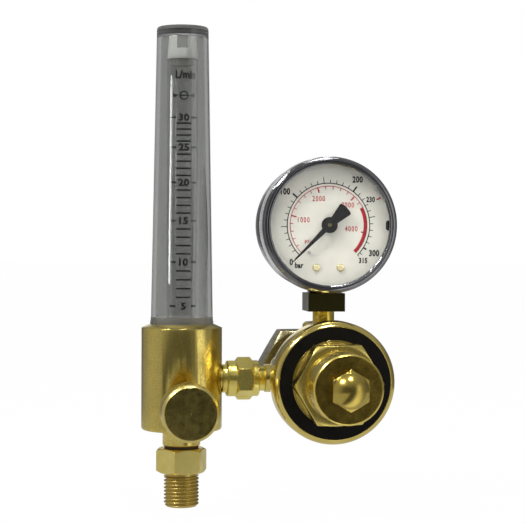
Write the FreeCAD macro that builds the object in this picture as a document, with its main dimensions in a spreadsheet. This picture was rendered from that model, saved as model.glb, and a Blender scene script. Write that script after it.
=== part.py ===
import FreeCAD, Part
import math
import os
import re
import Sketcher

# Gas pressure regulator with a flow tube, a needle valve and a round gauge.
# Millimetres, +Z up, +Y towards the gas cylinder, so the gauge and the knob face -Y.
# The origin is the middle of the sealing face where the cylinder valve meets the inlet.

V = FreeCAD.Vector
Turn = FreeCAD.Rotation
doc = FreeCAD.newDocument("flow_regulator")

# Driving dimensions. Each is a length in millimetres, an angle in degrees or a count.
SIZES = {
    # main axes
    "flow_spacing": 54.0,        # flow tube's axis to the regulator's axis
    "inlet_reach": 54.2,         # plane of the flow tube and gauge stem to the inlet's sealing face
    "knob_drop": 9.3,            # union's axis down to the needle valve's axis
    # plays that the fits share
    "thread_gap": 0.1,           # radial play where two threads are drawn as plain cylinders
    "running_gap": 0.05,         # radial play of a shaft in its hole
    "side_gap": 0.2,             # play beside a piece that moves
    # body of the flow meter
    "flow_body_radius": 15.1,
    "flow_body_rise": 20.7,      # union's axis up to its top face
    "flow_body_drop": 18.9,      # union's axis down to its bottom face
    "flow_body_bevel_width": 3.2,
    "flow_body_bevel_height": 1.4,
    "flow_body_round": 1.0,
    "neck_radius": 7.1,
    "neck_length": 6.2,
    "neck_round": 0.8,
    "cover_socket_radius": 10.3,
    "cover_socket_depth": 9.0,
    "tube_seat_depth": 2.6,      # floor of the cover's socket down to the tube's seat
    "nozzle_radius": 2.9,        # upstand under the ball
    "nozzle_height": 3.0,
    "nozzle_bore_radius": 1.6,
    "union_port_radius": 4.6,
    "union_port_depth": 8.0,
    "union_drill_radius": 2.2,
    "return_hole_radius": 1.0,   # from the space round the tube down to the valve
    "return_hole_offset": 7.6,
    "spot_face_radius": 7.6,     # flat for the valve's gland
    "spot_face_reach": 13.0,
    "gland_thread_radius": 5.1,
    "gland_thread_depth": 4.5,
    "valve_chamber_radius": 3.0,
    "valve_seat_reach": 3.0,     # flow tube's axis to the valve's seat
    "valve_seat_radius": 1.2,
    "outlet_bore_radius": 2.2,
    "outlet_bore_top": 7.6,      # union's axis down to the end of the outlet bore
    "adapter_thread_radius": 5.1,
    "adapter_thread_depth": 8.0,
    # clear cover
    "cover_foot_radius": 11.6,
    "cover_top_radius": 9.66,
    "cover_lip_radius": 11.85,
    "cover_lip_height": 0.8,
    "cover_flare_height": 1.8,
    "cover_corner": 1.0,
    "cover_crown": 0.45,
    "cover_wall": 1.6,
    "cover_roof": 3.6,
    "cover_spigot_wall": 1.3,
    "cover_gasket_height": 1.0,
    # metering tube, float and plug
    "tube_radius": 5.8,
    "tube_length": 109.6,
    "tube_bore_foot": 3.5,
    "tube_bore_top": 4.4,
    "tube_gasket_height": 0.9,
    "ball_radius": 3.2,
    "plug_height": 8.85,         # tube's head to the plug's top
    "plug_top_radius": 5.0,
    "plug_stub_length": 2.4,
    "plug_slot_width": 4.9,
    "plug_slot_depth": 5.0,
    "plug_bore_radius": 2.0,
    # needle valve
    "gland_hex": 13.0,
    "gland_hex_height": 5.0,
    "gland_collar_radius": 5.0,
    "gland_collar_height": 4.0,
    "gland_lip": 1.0,
    "stem_seal_height": 1.6,
    "stem_seal_radius": 3.4,
    "spindle_radius": 2.0,
    "spindle_thread_radius": 2.45,
    "spindle_thread_length": 5.6,
    "needle_slope": 0.425,
    "knob_radius": 10.35,
    "knob_face": 36.9,           # flow tube's axis to the knob's face
    "knob_thickness": 12.0,
    "knob_chamfer": 1.1,
    "knob_bore_depth": 8.5,
    "knob_screw_radius": 1.5,
    # outlet adapter
    "adapter_washer_height": 0.8,
    "adapter_washer_radius": 6.4,
    "adapter_hex": 17.0,
    "adapter_hex_height": 9.2,
    "adapter_hex_turn": 10.2,
    "adapter_relief_radius": 5.6,
    "adapter_relief_height": 1.2,
    "outlet_thread_radius": 6.5785,
    "outlet_thread_length": 11.5,
    "outlet_thread_chamfer": 1.0,
    "adapter_bore_radius": 2.5,
    # union between the flow meter and the regulator
    "stem_shoulder_radius": 5.35,
    "stem_shoulder_end": 16.8,   # flow tube's axis to the end of the stem's shoulder
    "stem_end": 23.6,
    "union_thread_radius": 5.6,
    "union_collar_radius": 6.75,
    "union_hex": 14.0,
    "union_hex_start": 20.2,
    "union_hex_end": 26.7,
    "union_end": 29.0,
    "union_lip": 1.4,
    "union_seal_height": 0.8,
    "tail_radius": 4.75,
    "tail_collar_height": 3.0,
    "tail_bore_radius": 2.2,
    # regulator's body
    "cup_radius": 22.7,
    "cup_face": 25.0,            # flow tube's plane to the front of the cup
    "cup_depth": 12.0,
    "cup_rim_width": 1.9,
    "cup_rim_height": 1.3,
    "body_radius": 17.5,
    "body_back": 12.0,
    "back_boss_radius": 10.5,
    "back_boss_end": 24.0,
    "bonnet_thread_radius": 15.2,
    "diaphragm_seat": 16.0,      # flow tube's plane to the shelf under the diaphragm
    "low_chamber_radius": 13.0,
    "low_chamber_floor": 9.0,
    "nozzle_thread_radius": 4.0,
    "high_chamber_front": 3.0,
    "high_chamber_radius": 5.0,
    "nipple_thread_radius": 7.1,
    "nipple_thread_depth": 12.0,
    "outlet_boss_radius": 5.25,
    "outlet_boss_reach": 22.6,
    "outlet_boss_flare": 3.0,
    "tail_thread_radius": 4.1,
    "tail_thread_depth": 8.0,
    "low_port_radius": 1.5,
    "low_port_offset": 10.0,
    "gauge_boss_radius": 8.0,
    "gauge_boss_top": 21.2,
    "gauge_thread_radius": 4.9,
    "gauge_thread_depth": 9.0,
    "gauge_drill_radius": 1.2,
    "label_play": 0.7,           # bonnet's thread out to the label
    "label_width": 4.65,
    "label_thickness": 0.25,
    "label_recess": 0.15,
    # bonnet, range spring and cap nut
    "bonnet_hex": 28.7,
    "bonnet_hex_front": 34.6,    # flow tube's plane to the front of the hexagon
    "bonnet_hex_gap": 0.4,
    "bonnet_hex_chamfer": 2.0,
    "bonnet_hex_turn": 1.0,
    "bonnet_sleeve_radius": 12.6,
    "bonnet_front": 50.5,
    "bonnet_sleeve_chamfer": 0.7,
    "bonnet_cavity_radius": 10.2,
    "bonnet_roof": 4.5,
    "slip_washer_height": 0.6,
    "diaphragm_thickness": 0.6,
    "plate_radius": 8.8,
    "plate_height": 2.0,
    "plate_stud_radius": 1.5,
    "plate_nut_radius": 4.0,
    "plate_nut_height": 2.0,
    "range_spring_radius": 7.0,
    "range_wire_radius": 1.2,
    "range_spring_turns": 4.5,
    "button_radius": 8.6,
    "button_height": 2.4,
    "adjusting_thread_radius": 3.9,
    "adjusting_screw_length": 11.0,
    "acorn_hex": 13.0,
    "acorn_hex_height": 4.3,
    "acorn_height": 7.8,
    "acorn_dome_radius": 6.3,
    # inlet valve
    "seat_bore_radius": 1.2,
    "seat_lip_height": 0.4,
    "poppet_radius": 3.2,
    "poppet_height": 4.5,
    "poppet_lift": 0.6,
    "poppet_pin_radius": 0.8,
    "poppet_guide_radius": 1.6,
    "poppet_guide_length": 4.0,
    "valve_spring_radius": 2.5,
    "valve_wire_radius": 0.35,
    "valve_spring_turns": 5.0,
    # inlet nipple and nut
    "nipple_stem_radius": 7.0,
    "nipple_shoulder_radius": 8.6,
    "nipple_shoulder_height": 3.0,
    "nipple_bore_radius": 2.0,
    "nipple_collar_radius": 9.4,
    "nipple_collar_height": 2.5,
    "filter_radius": 3.4,
    "filter_height": 3.0,
    "inlet_seal_gap": 0.1,       # cylinder valve's face to the washer before the nut is tight
    "inlet_washer_height": 1.0,
    "inlet_washer_radius": 8.6,
    "nut_hex": 30.0,
    "nut_lip": 2.6,
    "nut_relief_radius": 11.4,
    "nut_thread_radius": 9.75,
    "nut_mouth_reach": 8.3,      # sealing face to the nut's mouth
    "nut_mouth_chamfer": 0.8,
    "nut_chamfer": 1.6,
    # gauge housing
    "case_radius": 24.6,
    "case_back": 12.8,
    "case_front": 12.3,
    "case_wall": 0.8,
    "case_round": 1.6,
    "bezel_wall": 0.8,
    "bezel_front": 14.3,
    "bezel_back": 4.6,
    "bezel_hold": 2.2,           # how far the bezel's lip stands over the case's edge
    "window_thickness": 1.0,
    "dial_play": 0.6,            # dial's edge to the inside of the case
    "dial_thickness": 0.4,
    "dial_notch_depth": 1.35,
    "dial_notch_height": 3.8,
    "dial_notch_round": 0.9,
    "dial_hole_play": 0.6,       # dial's hole round the pointer's shaft
    "dial_screw_inset": 1.6,     # side of the front plate in to the dial's screws
    "dial_screw_drop": 15.9,
    "dial_screw_radius": 0.8,
    "dial_screw_head_radius": 1.5,
    "dial_screw_head_height": 0.8,
    "dial_screw_head_round": 0.7,
    "stop_pin_left": 7.5,
    "stop_pin_drop": 10.1,
    "stop_pin_radius": 0.45,
    "stop_pin_proud": 0.1,       # above the pointer's front
    # gauge stem and socket
    "stem_block": 14.0,
    "stem_block_foot": 25.4,     # regulator's axis to the underside of the square
    "stem_block_height": 6.9,
    "stem_neck_radius": 4.1,
    "gauge_seal_height": 0.8,
    "stem_bore_radius": 1.5,
    "passage_radius": 0.8,
    "socket_half_width": 5.0,
    "socket_front": 2.0,         # flow tube's plane back to the socket's front
    "socket_depth": 5.0,
    "lug_side": 2.28,            # tube's end out to the lug's side
    "lug_rise": 2.79,            # tube's end up to the lug's top
    "lug_drop": 4.61,            # tube's end down to the socket's step
    "lug_front_wall": 0.4,
    # Bourdon tube
    "tube_arc_inset": 6.3,       # inside of the case in to the tube's middle line
    "tube_arc_thickness": 3.0,
    "tube_arc_width": 6.0,
    "tube_arc_wall": 0.6,
    "tube_arc_start": 10.0,
    "tube_arc_sweep": 236.0,
    "tip_length": 6.0,
    "tip_front": 3.3,
    "tip_pin_offset": 4.5,
    # movement
    "plate_thickness": 1.0,
    "front_plate_back": 8.2,     # flow tube's plane forward to the front plate
    "movement_side": 2.12,       # tube's end in to the side of the movement
    "front_overhang": 1.2,       # how much wider the front plate is, each side
    "movement_top": 4.6,
    "movement_foot": 18.6,
    "movement_corner": 1.5,
    "pillar_radius": 1.1,
    "pillar_inset": 1.4,         # side and foot of the back plate in to a pillar's middle
    "pillar_top": 3.0,
    "movement_screw_side": 2.6,
    "movement_screw_drop": 14.6,
    "movement_screw_inset": 1.4, # top of the socket down to the screws
    "movement_screw_radius": 0.7,
    "movement_screw_depth": 3.0,
    "gear_module": 0.25,
    "pinion_teeth": 12,
    "sector_teeth": 96,
    "sector_thickness": 1.2,
    "sector_back": 2.0,
    "sector_left_angle": 5.0,
    "sector_right_angle": 39.0,
    "pinion_back": 1.6,
    "pinion_width": 2.0,
    "pivot_radius": 0.5,
    "arbor_radius": 0.9,
    "pointer_shaft_radius": 0.75,
    "tail_arm_length": 6.5,
    "tail_arm_angle": 5.0,
    "tail_pin_radius": 0.55,
    "link_back": 3.9,
    "link_thickness": 0.8,
    "link_half_width": 0.9,
    # pointer
    "pointer_back": 11.5,
    "pointer_thickness": 0.4,
    "pointer_inset": 3.7,        # dial's edge in to the pointer's tip
    "pointer_tip": 0.15,
    "pointer_half_width": 1.1,
    "pointer_tail": 9.2,
    "pointer_tail_angle": 18.0,
    "pointer_tail_round": 0.7,
    "pointer_hub_radius": 3.0,
    "pointer_hub_height": 0.7,
    "pointer_hub_sink": 0.3,     # hub's back behind the pointer's back
    "pointer_zero_angle": 225.0,
}

sheet = doc.addObject("Spreadsheet::Sheet", "Sizes")
for row, (word, value) in enumerate(SIZES.items(), start=1):
    sheet.set(f"A{row}", word)
    sheet.set(f"B{row}", str(value))
    sheet.setAlias(f"B{row}", word)

# Places and sizes that follow from the driving ones.
PLACES = {
    "flow_left": "-flow_spacing",
    "plane_back": "-inlet_reach",
    "socket_floor": "flow_body_rise - cover_socket_depth",
    "tube_seat": "socket_floor - tube_seat_depth",
    "nozzle_top": "tube_seat + nozzle_height",
    "neck_end": "-flow_body_drop - neck_length",
    "gland_start": "spot_face_reach - gland_thread_depth",
    "tube_foot": "tube_seat + tube_gasket_height",
    "tube_head": "tube_foot + tube_length",
    "cover_foot": "socket_floor + cover_gasket_height",
    "cover_ceiling": "tube_head + plug_height + thread_gap",
    "cover_shoulder": "cover_ceiling + cover_roof - cover_crown",
    "plug_stub_radius": "tube_bore_top - thread_gap - 0.02 * plug_stub_length",
    "ball_height": "nozzle_top + sqrt(ball_radius ^ 2 - nozzle_bore_radius ^ 2) + thread_gap",
    "gland_hex_front": "spot_face_reach + gland_hex_height",
    "gland_front": "gland_hex_front + gland_collar_height",
    "stem_seal_end": "gland_start + stem_seal_height + thread_gap",
    "spindle_thread_start": "stem_seal_end + side_gap",
    "spindle_thread_end": "spindle_thread_start + spindle_thread_length",
    "needle_root": "valve_seat_reach + (spindle_radius - valve_seat_radius + running_gap) / needle_slope",
    "needle_tip": "0.2 * valve_seat_reach",
    "needle_tip_radius": "spindle_radius - needle_slope * (needle_root - needle_tip)",
    "knob_back": "knob_face - knob_thickness",
    "spindle_end": "knob_back + knob_bore_depth - side_gap",
    "adapter_hex_top": "neck_end - adapter_washer_height",
    "adapter_hex_foot": "adapter_hex_top - adapter_hex_height",
    "outlet_thread_top": "adapter_hex_foot - adapter_relief_height",
    "outlet_end": "outlet_thread_top - outlet_thread_length",
    "tail_start": "stem_end + union_seal_height",
    "tail_shoulder": "tail_start + tail_collar_height",
    "tail_end": "flow_spacing - outlet_boss_reach",
    "cup_back": "cup_face - cup_depth",
    "washer_back": "diaphragm_seat + diaphragm_thickness",
    "bonnet_back": "washer_back + slip_washer_height",
    "bonnet_hex_back": "cup_face + label_thickness + bonnet_hex_gap",
    "bonnet_inner": "bonnet_front - bonnet_roof",
    "label_inner": "bonnet_thread_radius + label_play",
    "label_outer": "label_inner + label_width",
    "label_face": "cup_face - label_recess",
    "plate_front": "washer_back + plate_height",
    "plate_nut_back": "diaphragm_seat - plate_nut_height",
    "button_front": "bonnet_inner - 3",
    "button_back": "button_front - button_height",
    "spring_room": "button_back - plate_front",
    "seat_lip_back": "high_chamber_front - seat_lip_height",
    "poppet_front": "seat_lip_back - poppet_lift",
    "poppet_back": "poppet_front - poppet_height",
    "nipple_front": "-back_boss_end + nipple_thread_depth",
    "valve_spring_room": "poppet_back - nipple_front",
    "nipple_stem_front": "-back_boss_end - nipple_shoulder_height",
    "washer_face": "-inlet_reach + inlet_seal_gap",
    "collar_back": "washer_face + inlet_washer_height",
    "collar_front": "collar_back + nipple_collar_height",
    "nut_front": "collar_front + side_gap + nut_lip",
    "nut_mouth": "-inlet_reach - nut_mouth_reach",
    "window_back": "case_front + thread_gap",
    "window_front": "window_back + window_thickness",
    "bezel_radius": "case_radius + thread_gap + bezel_wall",
    "bezel_opening": "case_radius - bezel_hold",
    "gauge_rise": "stem_block_foot + stem_block_height + thread_gap + bezel_radius",
    "dial_radius": "case_radius - case_wall - dial_play",
    "dial_back": "front_plate_back + plate_thickness",
    "dial_face": "dial_back + dial_thickness",
    "pointer_length": "dial_radius - pointer_inset",
    "pointer_front": "pointer_back + pointer_thickness",
    "hub_front": "pointer_back + pointer_hub_height",
    "tube_arc_radius": "case_radius - case_wall - tube_arc_inset",
    "tube_end_angle": "tube_arc_start + tube_arc_sweep",
    "tube_end_side": "-tube_arc_radius * cos(tube_end_angle)",
    "tube_end_drop": "-tube_arc_radius * sin(tube_end_angle)",
    "lug_reach": "tube_end_side + lug_side",
    "lug_top": "tube_end_drop - lug_rise",
    "socket_step": "tube_end_drop + lug_drop",
    "socket_top": "movement_screw_drop - movement_screw_inset",
    "movement_half_width": "tube_end_side - movement_side",
    "front_half_width": "movement_half_width + front_overhang",
    "pillar_side": "movement_half_width - pillar_inset",
    "pillar_foot": "movement_foot - pillar_inset",
    "dial_screw_offset": "front_half_width - dial_screw_inset",
    "stem_block_low": "stem_block_foot - gauge_rise",
    "stem_block_high": "-bezel_radius - thread_gap",
    "gauge_port_mouth": "gauge_boss_top - gauge_rise",
    "gauge_port_floor": "gauge_port_mouth - gauge_thread_depth",
    "stem_foot": "gauge_port_floor + gauge_seal_height",
    "socket_middle": "-socket_front - socket_depth / 2",
    "passage_height": "-socket_top - 3",
    "pinion_pitch_radius": "gear_module * pinion_teeth / 2",
    "sector_pitch_radius": "gear_module * sector_teeth / 2",
    "sector_drop": "pinion_pitch_radius + sector_pitch_radius",
    "back_plate_back": "-socket_front",
    "back_plate_front": "back_plate_back + plate_thickness",
    "front_plate_front": "dial_back",
}

WORD = re.compile(r"[a-z][a-z_0-9]*")


def bound(text):
    """Names the sheet that holds each word of a formula."""
    def with_sheet(match):
        word = match.group()
        if word in SIZES:
            return "Sizes." + word
        if word in PLACES:
            return "Places." + word
        return word
    return WORD.sub(with_sheet, text)


places = doc.addObject("Spreadsheet::Sheet", "Places")
for row, (word, formula) in enumerate(PLACES.items(), start=1):
    places.set(f"A{row}", word)
    places.setAlias(f"B{row}", word)
for row, (word, formula) in enumerate(PLACES.items(), start=1):
    places.set(f"B{row}", "=" + bound(formula))
doc.recompute()


def number(text):
    """The value of a formula, in millimetres or degrees."""
    return float(sheet.evalExpression(bound(str(text))))


# Helpers that make, bind and seat the pieces.

UPRIGHT = Turn()
FACING_FRONT = Turn(V(1, 0, 0), 90)      # the piece's own z points to -Y, its y to +Z
FACING_RIGHT = Turn(V(0, 1, 0), 90)      # the piece's own z points to +X

FLOW_AXIS = ("flow_left", "plane_back", "0")
VALVE_AXIS = ("flow_left", "plane_back", "-knob_drop")
REGULATOR_AXIS = ("0", "plane_back", "0")
GAUGE_AXIS = ("0", "plane_back", "gauge_rise")

nodes = []


def seat(piece, spot, turn):
    """Places a piece and ties its place to the sheet."""
    piece.Placement = FreeCAD.Placement(V(*[number(part) for part in spot]), turn)
    for letter, part in zip("xyz", spot):
        piece.setExpression(f"Placement.Base.{letter}", bound(part))


def new_body(name, spot, turn):
    """A body that becomes the node of that name."""
    body = doc.addObject("PartDesign::Body", name)
    body.Label = name
    seat(body, spot, turn)
    nodes.append(body)
    return body


def new_sketch(body, plane, shift=("0", "0", "0"), twist=None):
    """A sketch on one of the body's own planes, moved by formulas."""
    sketch = body.newObject("Sketcher::SketchObject", body.Name + "_sketch")
    support = [item for item in body.Origin.OriginFeatures if item.Role == plane]
    sketch.AttachmentSupport = [(support[0], "")]
    sketch.MapMode = "FlatFace"
    twist = twist or Turn()
    sketch.AttachmentOffset = FreeCAD.Placement(V(*[number(part) for part in shift]), twist)
    for letter, part in zip("xyz", shift):
        if part != "0":
            sketch.setExpression(f"AttachmentOffset.Base.{letter}", bound(part))
    return sketch


def arc_between(before, here, bend):
    """The shorter arc from one spot to another, turning left when bend is above zero."""
    chord = here - before
    left = V(-chord.y, chord.x, 0).normalize()
    reach = math.sqrt(max(bend * bend - chord.Length * chord.Length / 4, 0))
    centre = (here + before) * 0.5 + left * math.copysign(reach, bend)
    start, finish = (before, here) if bend > 0 else (here, before)
    start_angle = math.atan2(start.y - centre.y, start.x - centre.x)
    finish_angle = math.atan2(finish.y - centre.y, finish.x - centre.x)
    return Part.ArcOfCircle(Part.Circle(centre, V(0, 0, 1), abs(bend)), start_angle, finish_angle)


def draw_outline(sketch, corners):
    """A closed outline. Each corner is (x, y) or (x, y, bend), where bend is the
    radius of the arc that leads to it, below zero when the arc turns clockwise."""
    spots = [V(number(corner[0]), number(corner[1]), 0) for corner in corners]
    first = sketch.GeometryCount
    edges = []
    for index, corner in enumerate(corners):
        here = spots[index]
        before = spots[index - 1]
        if len(corner) == 2:
            edges.append(Part.LineSegment(before, here))
            continue
        edges.append(arc_between(before, here, number(corner[2])))
    sketch.addGeometry(edges, False)
    rules = []
    ties = []
    count = len(corners)
    ends = []
    for index in range(count):
        edge = sketch.Geometry[first + index]
        starts_at_corner = edge.StartPoint.distanceToPoint(spots[index]) < 1e-6
        ends.append((2, 1) if starts_at_corner else (1, 2))
    for index in range(count):
        after = (index + 1) % count
        here = first + index
        rules.append(Sketcher.Constraint("Coincident", here, ends[index][1], first + after, ends[after][0]))
        for axis, kind in enumerate(("DistanceX", "DistanceY")):
            ties.append((len(rules), corners[index][axis]))
            value = (spots[index].x, spots[index].y)[axis]
            rules.append(Sketcher.Constraint(kind, -1, 1, here, ends[index][1], value))
        if len(corners[index]) == 3:
            ties.append((len(rules), f"abs({corners[index][2]})"))
            rules.append(Sketcher.Constraint("Radius", here, abs(number(corners[index][2]))))
    start = sketch.ConstraintCount
    sketch.addConstraint(rules)
    for place, formula in ties:
        sketch.setExpression(f"Constraints[{start + place}]", bound(formula))


def draw_circle(sketch, x, y, radius):
    """A circle whose centre and radius are tied to the sheet."""
    here = sketch.GeometryCount
    start = sketch.ConstraintCount
    sketch.addGeometry(Part.Circle(V(number(x), number(y), 0), V(0, 0, 1), number(radius)), False)
    sketch.addConstraint([
        Sketcher.Constraint("Radius", here, number(radius)),
        Sketcher.Constraint("DistanceX", -1, 1, here, 3, number(x)),
        Sketcher.Constraint("DistanceY", -1, 1, here, 3, number(y)),
    ])
    for offset, formula in enumerate((radius, x, y)):
        sketch.setExpression(f"Constraints[{start + offset}]", bound(formula))


def regular_corners(across, turn, sides=6):
    """Corners of a regular outline that is so wide across its flats."""
    step = 360 / sides
    reach = f"({across}) / 2 / cos({step / 2})"
    return [
        (f"{reach} * cos({turn} + {index * step})", f"{reach} * sin({turn} + {index * step})")
        for index in range(sides)
    ]


def turn_sketch(body, sketch, axis="V_Axis", cut=False, angle="360"):
    """Turns a sketch about one of its axes, to add material or to cut it."""
    kind = "PartDesign::Groove" if cut else "PartDesign::Revolution"
    feature = body.newObject(kind, body.Name + ("_groove" if cut else "_turning"))
    feature.Profile = sketch
    feature.ReferenceAxis = (sketch, [axis])
    feature.Angle = number(angle)
    feature.setExpression("Angle", bound(angle))
    return feature


def add_turning(body, corners, plane="XZ_Plane", shift=("0", "0", "0"), axis="V_Axis", cut=False):
    """Turns an outline about an axis of its sketch, to add material or to cut it."""
    sketch = new_sketch(body, plane, shift)
    draw_outline(sketch, corners)
    return turn_sketch(body, sketch, axis, cut)


def turned(name, corners, spot, turn):
    """A piece turned about its own z axis from corners given as (radius, height)."""
    body = new_body(name, spot, turn)
    add_turning(body, corners)
    return body


def cut_up(body, sketch, length):
    """Cuts a sketch's outline upwards along its plane's z, and makes sure that it cuts."""
    doc.recompute()
    before = body.Shape.Volume
    pocket = body.newObject("PartDesign::Pocket", body.Name + "_pocket")
    pocket.Profile = sketch
    pocket.Reversed = True
    pocket.Length = number(length)
    pocket.setExpression("Length", bound(length))
    doc.recompute()
    if not body.Shape.Volume < before:
        raise ValueError(body.Name + " is not cut by its pocket")
    return pocket


def cut_hexagon(body, across, turn, foot, height, sides=6):
    """Cuts flats on a turned piece, from its height foot up."""
    sketch = new_sketch(body, "XY_Plane", ("0", "0", foot))
    draw_outline(sketch, regular_corners(across, turn, sides))
    draw_circle(sketch, "0", "0", across)
    cut_up(body, sketch, height)


def drill_up(body, x, y, radius, foot, height):
    """Drills a round hole along the body's z, from its height foot up."""
    sketch = new_sketch(body, "XY_Plane", ("0", "0", foot))
    draw_circle(sketch, x, y, radius)
    cut_up(body, sketch, height)


def pad_up(body, corners, foot, height, twist=None):
    """Adds a slab of an outline, from the body's height foot up."""
    sketch = new_sketch(body, "XY_Plane", ("0", "0", foot), twist)
    draw_outline(sketch, corners)
    pad = body.newObject("PartDesign::Pad", body.Name + "_pad")
    pad.Profile = sketch
    pad.Length = number(height)
    pad.setExpression("Length", bound(height))
    return pad


def peg_up(body, x, y, radius, foot, height):
    """Adds a round peg along the body's z, from its height foot up."""
    sketch = new_sketch(body, "XY_Plane", ("0", "0", foot))
    draw_circle(sketch, x, y, radius)
    pad = body.newObject("PartDesign::Pad", body.Name + "_peg")
    pad.Profile = sketch
    pad.Length = number(height)
    pad.setExpression("Length", bound(height))
    return pad


def box_corners(left, low, right, high):
    """Corners of an upright rectangle."""
    return [(left, low), (right, low), (right, high), (left, high)]


def ring(name, inner, outer, low, high, spot, turn):
    """A flat ring: a washer, a gasket or a label."""
    return turned(name, [(inner, low), (outer, low), (outer, high), (inner, high)], spot, turn)


def feature_node(name, shape, spot, turn):
    """A node whose solid is worked out in code from the sheet's values."""
    piece = doc.addObject("Part::Feature", name)
    piece.Label = name
    piece.Shape = shape
    seat(piece, spot, turn)
    nodes.append(piece)
    return piece


# Flow meter

def make_flow_body():
    """Brass body that carries the clear cover, the needle valve and the outlet."""
    body = turned("flow_body", [
        ("adapter_thread_radius", "neck_end"),
        ("neck_radius - neck_round", "neck_end"),
        ("neck_radius", "neck_end + neck_round", "neck_round"),
        ("neck_radius", "-flow_body_drop"),
        ("flow_body_radius - flow_body_round", "-flow_body_drop"),
        ("flow_body_radius", "-flow_body_drop + flow_body_round", "flow_body_round"),
        ("flow_body_radius", "flow_body_rise - flow_body_bevel_height"),
        ("flow_body_radius - flow_body_bevel_width", "flow_body_rise"),
        ("cover_socket_radius", "flow_body_rise"),
        ("cover_socket_radius", "socket_floor"),
        ("tube_radius + thread_gap", "socket_floor"),
        ("tube_radius + thread_gap", "tube_seat"),
        ("nozzle_radius", "tube_seat"),
        ("nozzle_radius", "nozzle_top"),
        ("nozzle_bore_radius", "nozzle_top"),
        ("nozzle_bore_radius", "0"),
        ("0", "0"),
        ("0", "-outlet_bore_top"),
        ("outlet_bore_radius", "-outlet_bore_top"),
        ("outlet_bore_radius", "neck_end + adapter_thread_depth"),
        ("adapter_thread_radius", "neck_end + adapter_thread_depth"),
    ], FLOW_AXIS, UPRIGHT)
    add_turning(body, [
        ("0", "0"),
        ("0", "union_drill_radius"),
        ("flow_body_radius - union_port_depth", "union_drill_radius"),
        ("flow_body_radius - union_port_depth", "union_port_radius"),
        ("flow_body_radius + 1", "union_port_radius"),
        ("flow_body_radius + 1", "0"),
    ], axis="H_Axis", cut=True)
    add_turning(body, [
        ("0", "0"),
        ("0", "valve_seat_radius"),
        ("-valve_seat_reach", "valve_seat_radius"),
        ("-valve_seat_reach", "valve_chamber_radius"),
        ("-gland_start", "valve_chamber_radius"),
        ("-gland_start", "gland_thread_radius"),
        ("-spot_face_reach", "gland_thread_radius"),
        ("-spot_face_reach", "spot_face_radius"),
        ("-flow_body_radius - 1", "spot_face_radius"),
        ("-flow_body_radius - 1", "0"),
    ], plane="YZ_Plane", shift=("0", "-knob_drop", "0"), axis="H_Axis", cut=True)
    drill_up(body, "0", "-return_hole_offset", "return_hole_radius",
             "-knob_drop", "socket_floor + knob_drop + 1")
    return body


def make_cover():
    """Clear cover: a tapered tube with a flat crowned end, spigoted into the body."""
    inner_foot = "cover_foot_radius - cover_wall"
    inner_top = "cover_top_radius - cover_wall"
    spigot = "cover_socket_radius - thread_gap"
    lip_top = "flow_body_rise + cover_lip_height"
    return turned("tube_cover", [
        (f"{spigot} - cover_spigot_wall", "cover_foot"),
        (spigot, "cover_foot"),
        (spigot, "flow_body_rise"),
        ("cover_lip_radius", "flow_body_rise"),
        ("cover_lip_radius", lip_top),
        ("cover_foot_radius", f"{lip_top} + cover_flare_height", "-9"),
        ("cover_top_radius", "cover_shoulder - cover_corner"),
        ("cover_top_radius - cover_corner", "cover_shoulder", "cover_corner"),
        ("0.4", "cover_shoulder + cover_crown", "90"),
        ("0", "cover_shoulder + cover_crown"),
        ("0", "cover_ceiling"),
        (f"{inner_top} - cover_corner", "cover_ceiling"),
        (inner_top, "cover_ceiling - cover_corner", "-cover_corner"),
        (inner_foot, f"{lip_top} + cover_flare_height"),
        (f"{spigot} - cover_spigot_wall", "flow_body_rise - 1"),
    ], FLOW_AXIS, UPRIGHT)


def make_tube():
    """Clear metering tube, with a bore that widens upwards."""
    return turned("metering_tube", [
        ("tube_bore_foot", "tube_foot"),
        ("tube_radius", "tube_foot"),
        ("tube_radius", "tube_head"),
        ("tube_bore_top", "tube_head"),
    ], FLOW_AXIS, UPRIGHT)


def make_ball():
    """Float that rises in the tube with the flow."""
    return turned("float_ball", [
        ("0", "ball_height - ball_radius"),
        ("ball_radius", "ball_height", "ball_radius"),
        ("0", "ball_height + ball_radius", "ball_radius"),
    ], FLOW_AXIS, UPRIGHT)


def make_plug():
    """Plug that centres the tube's head and lets the gas out through its slot."""
    body = turned("top_plug", [
        ("plug_bore_radius", "tube_head - plug_stub_length"),
        ("plug_stub_radius", "tube_head - plug_stub_length"),
        ("plug_stub_radius", "tube_head"),
        ("tube_radius", "tube_head"),
        ("plug_top_radius", "tube_head + plug_height"),
        ("plug_bore_radius", "tube_head + plug_height"),
    ], FLOW_AXIS, UPRIGHT)
    sketch = new_sketch(body, "XY_Plane", ("0", "0", "tube_head + plug_height - plug_slot_depth"))
    draw_outline(sketch, box_corners("-plug_slot_width / 2", "-tube_radius - 1",
                                     "plug_slot_width / 2", "tube_radius + 1"))
    cut_up(body, sketch, "plug_slot_depth + 1")
    return body


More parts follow.
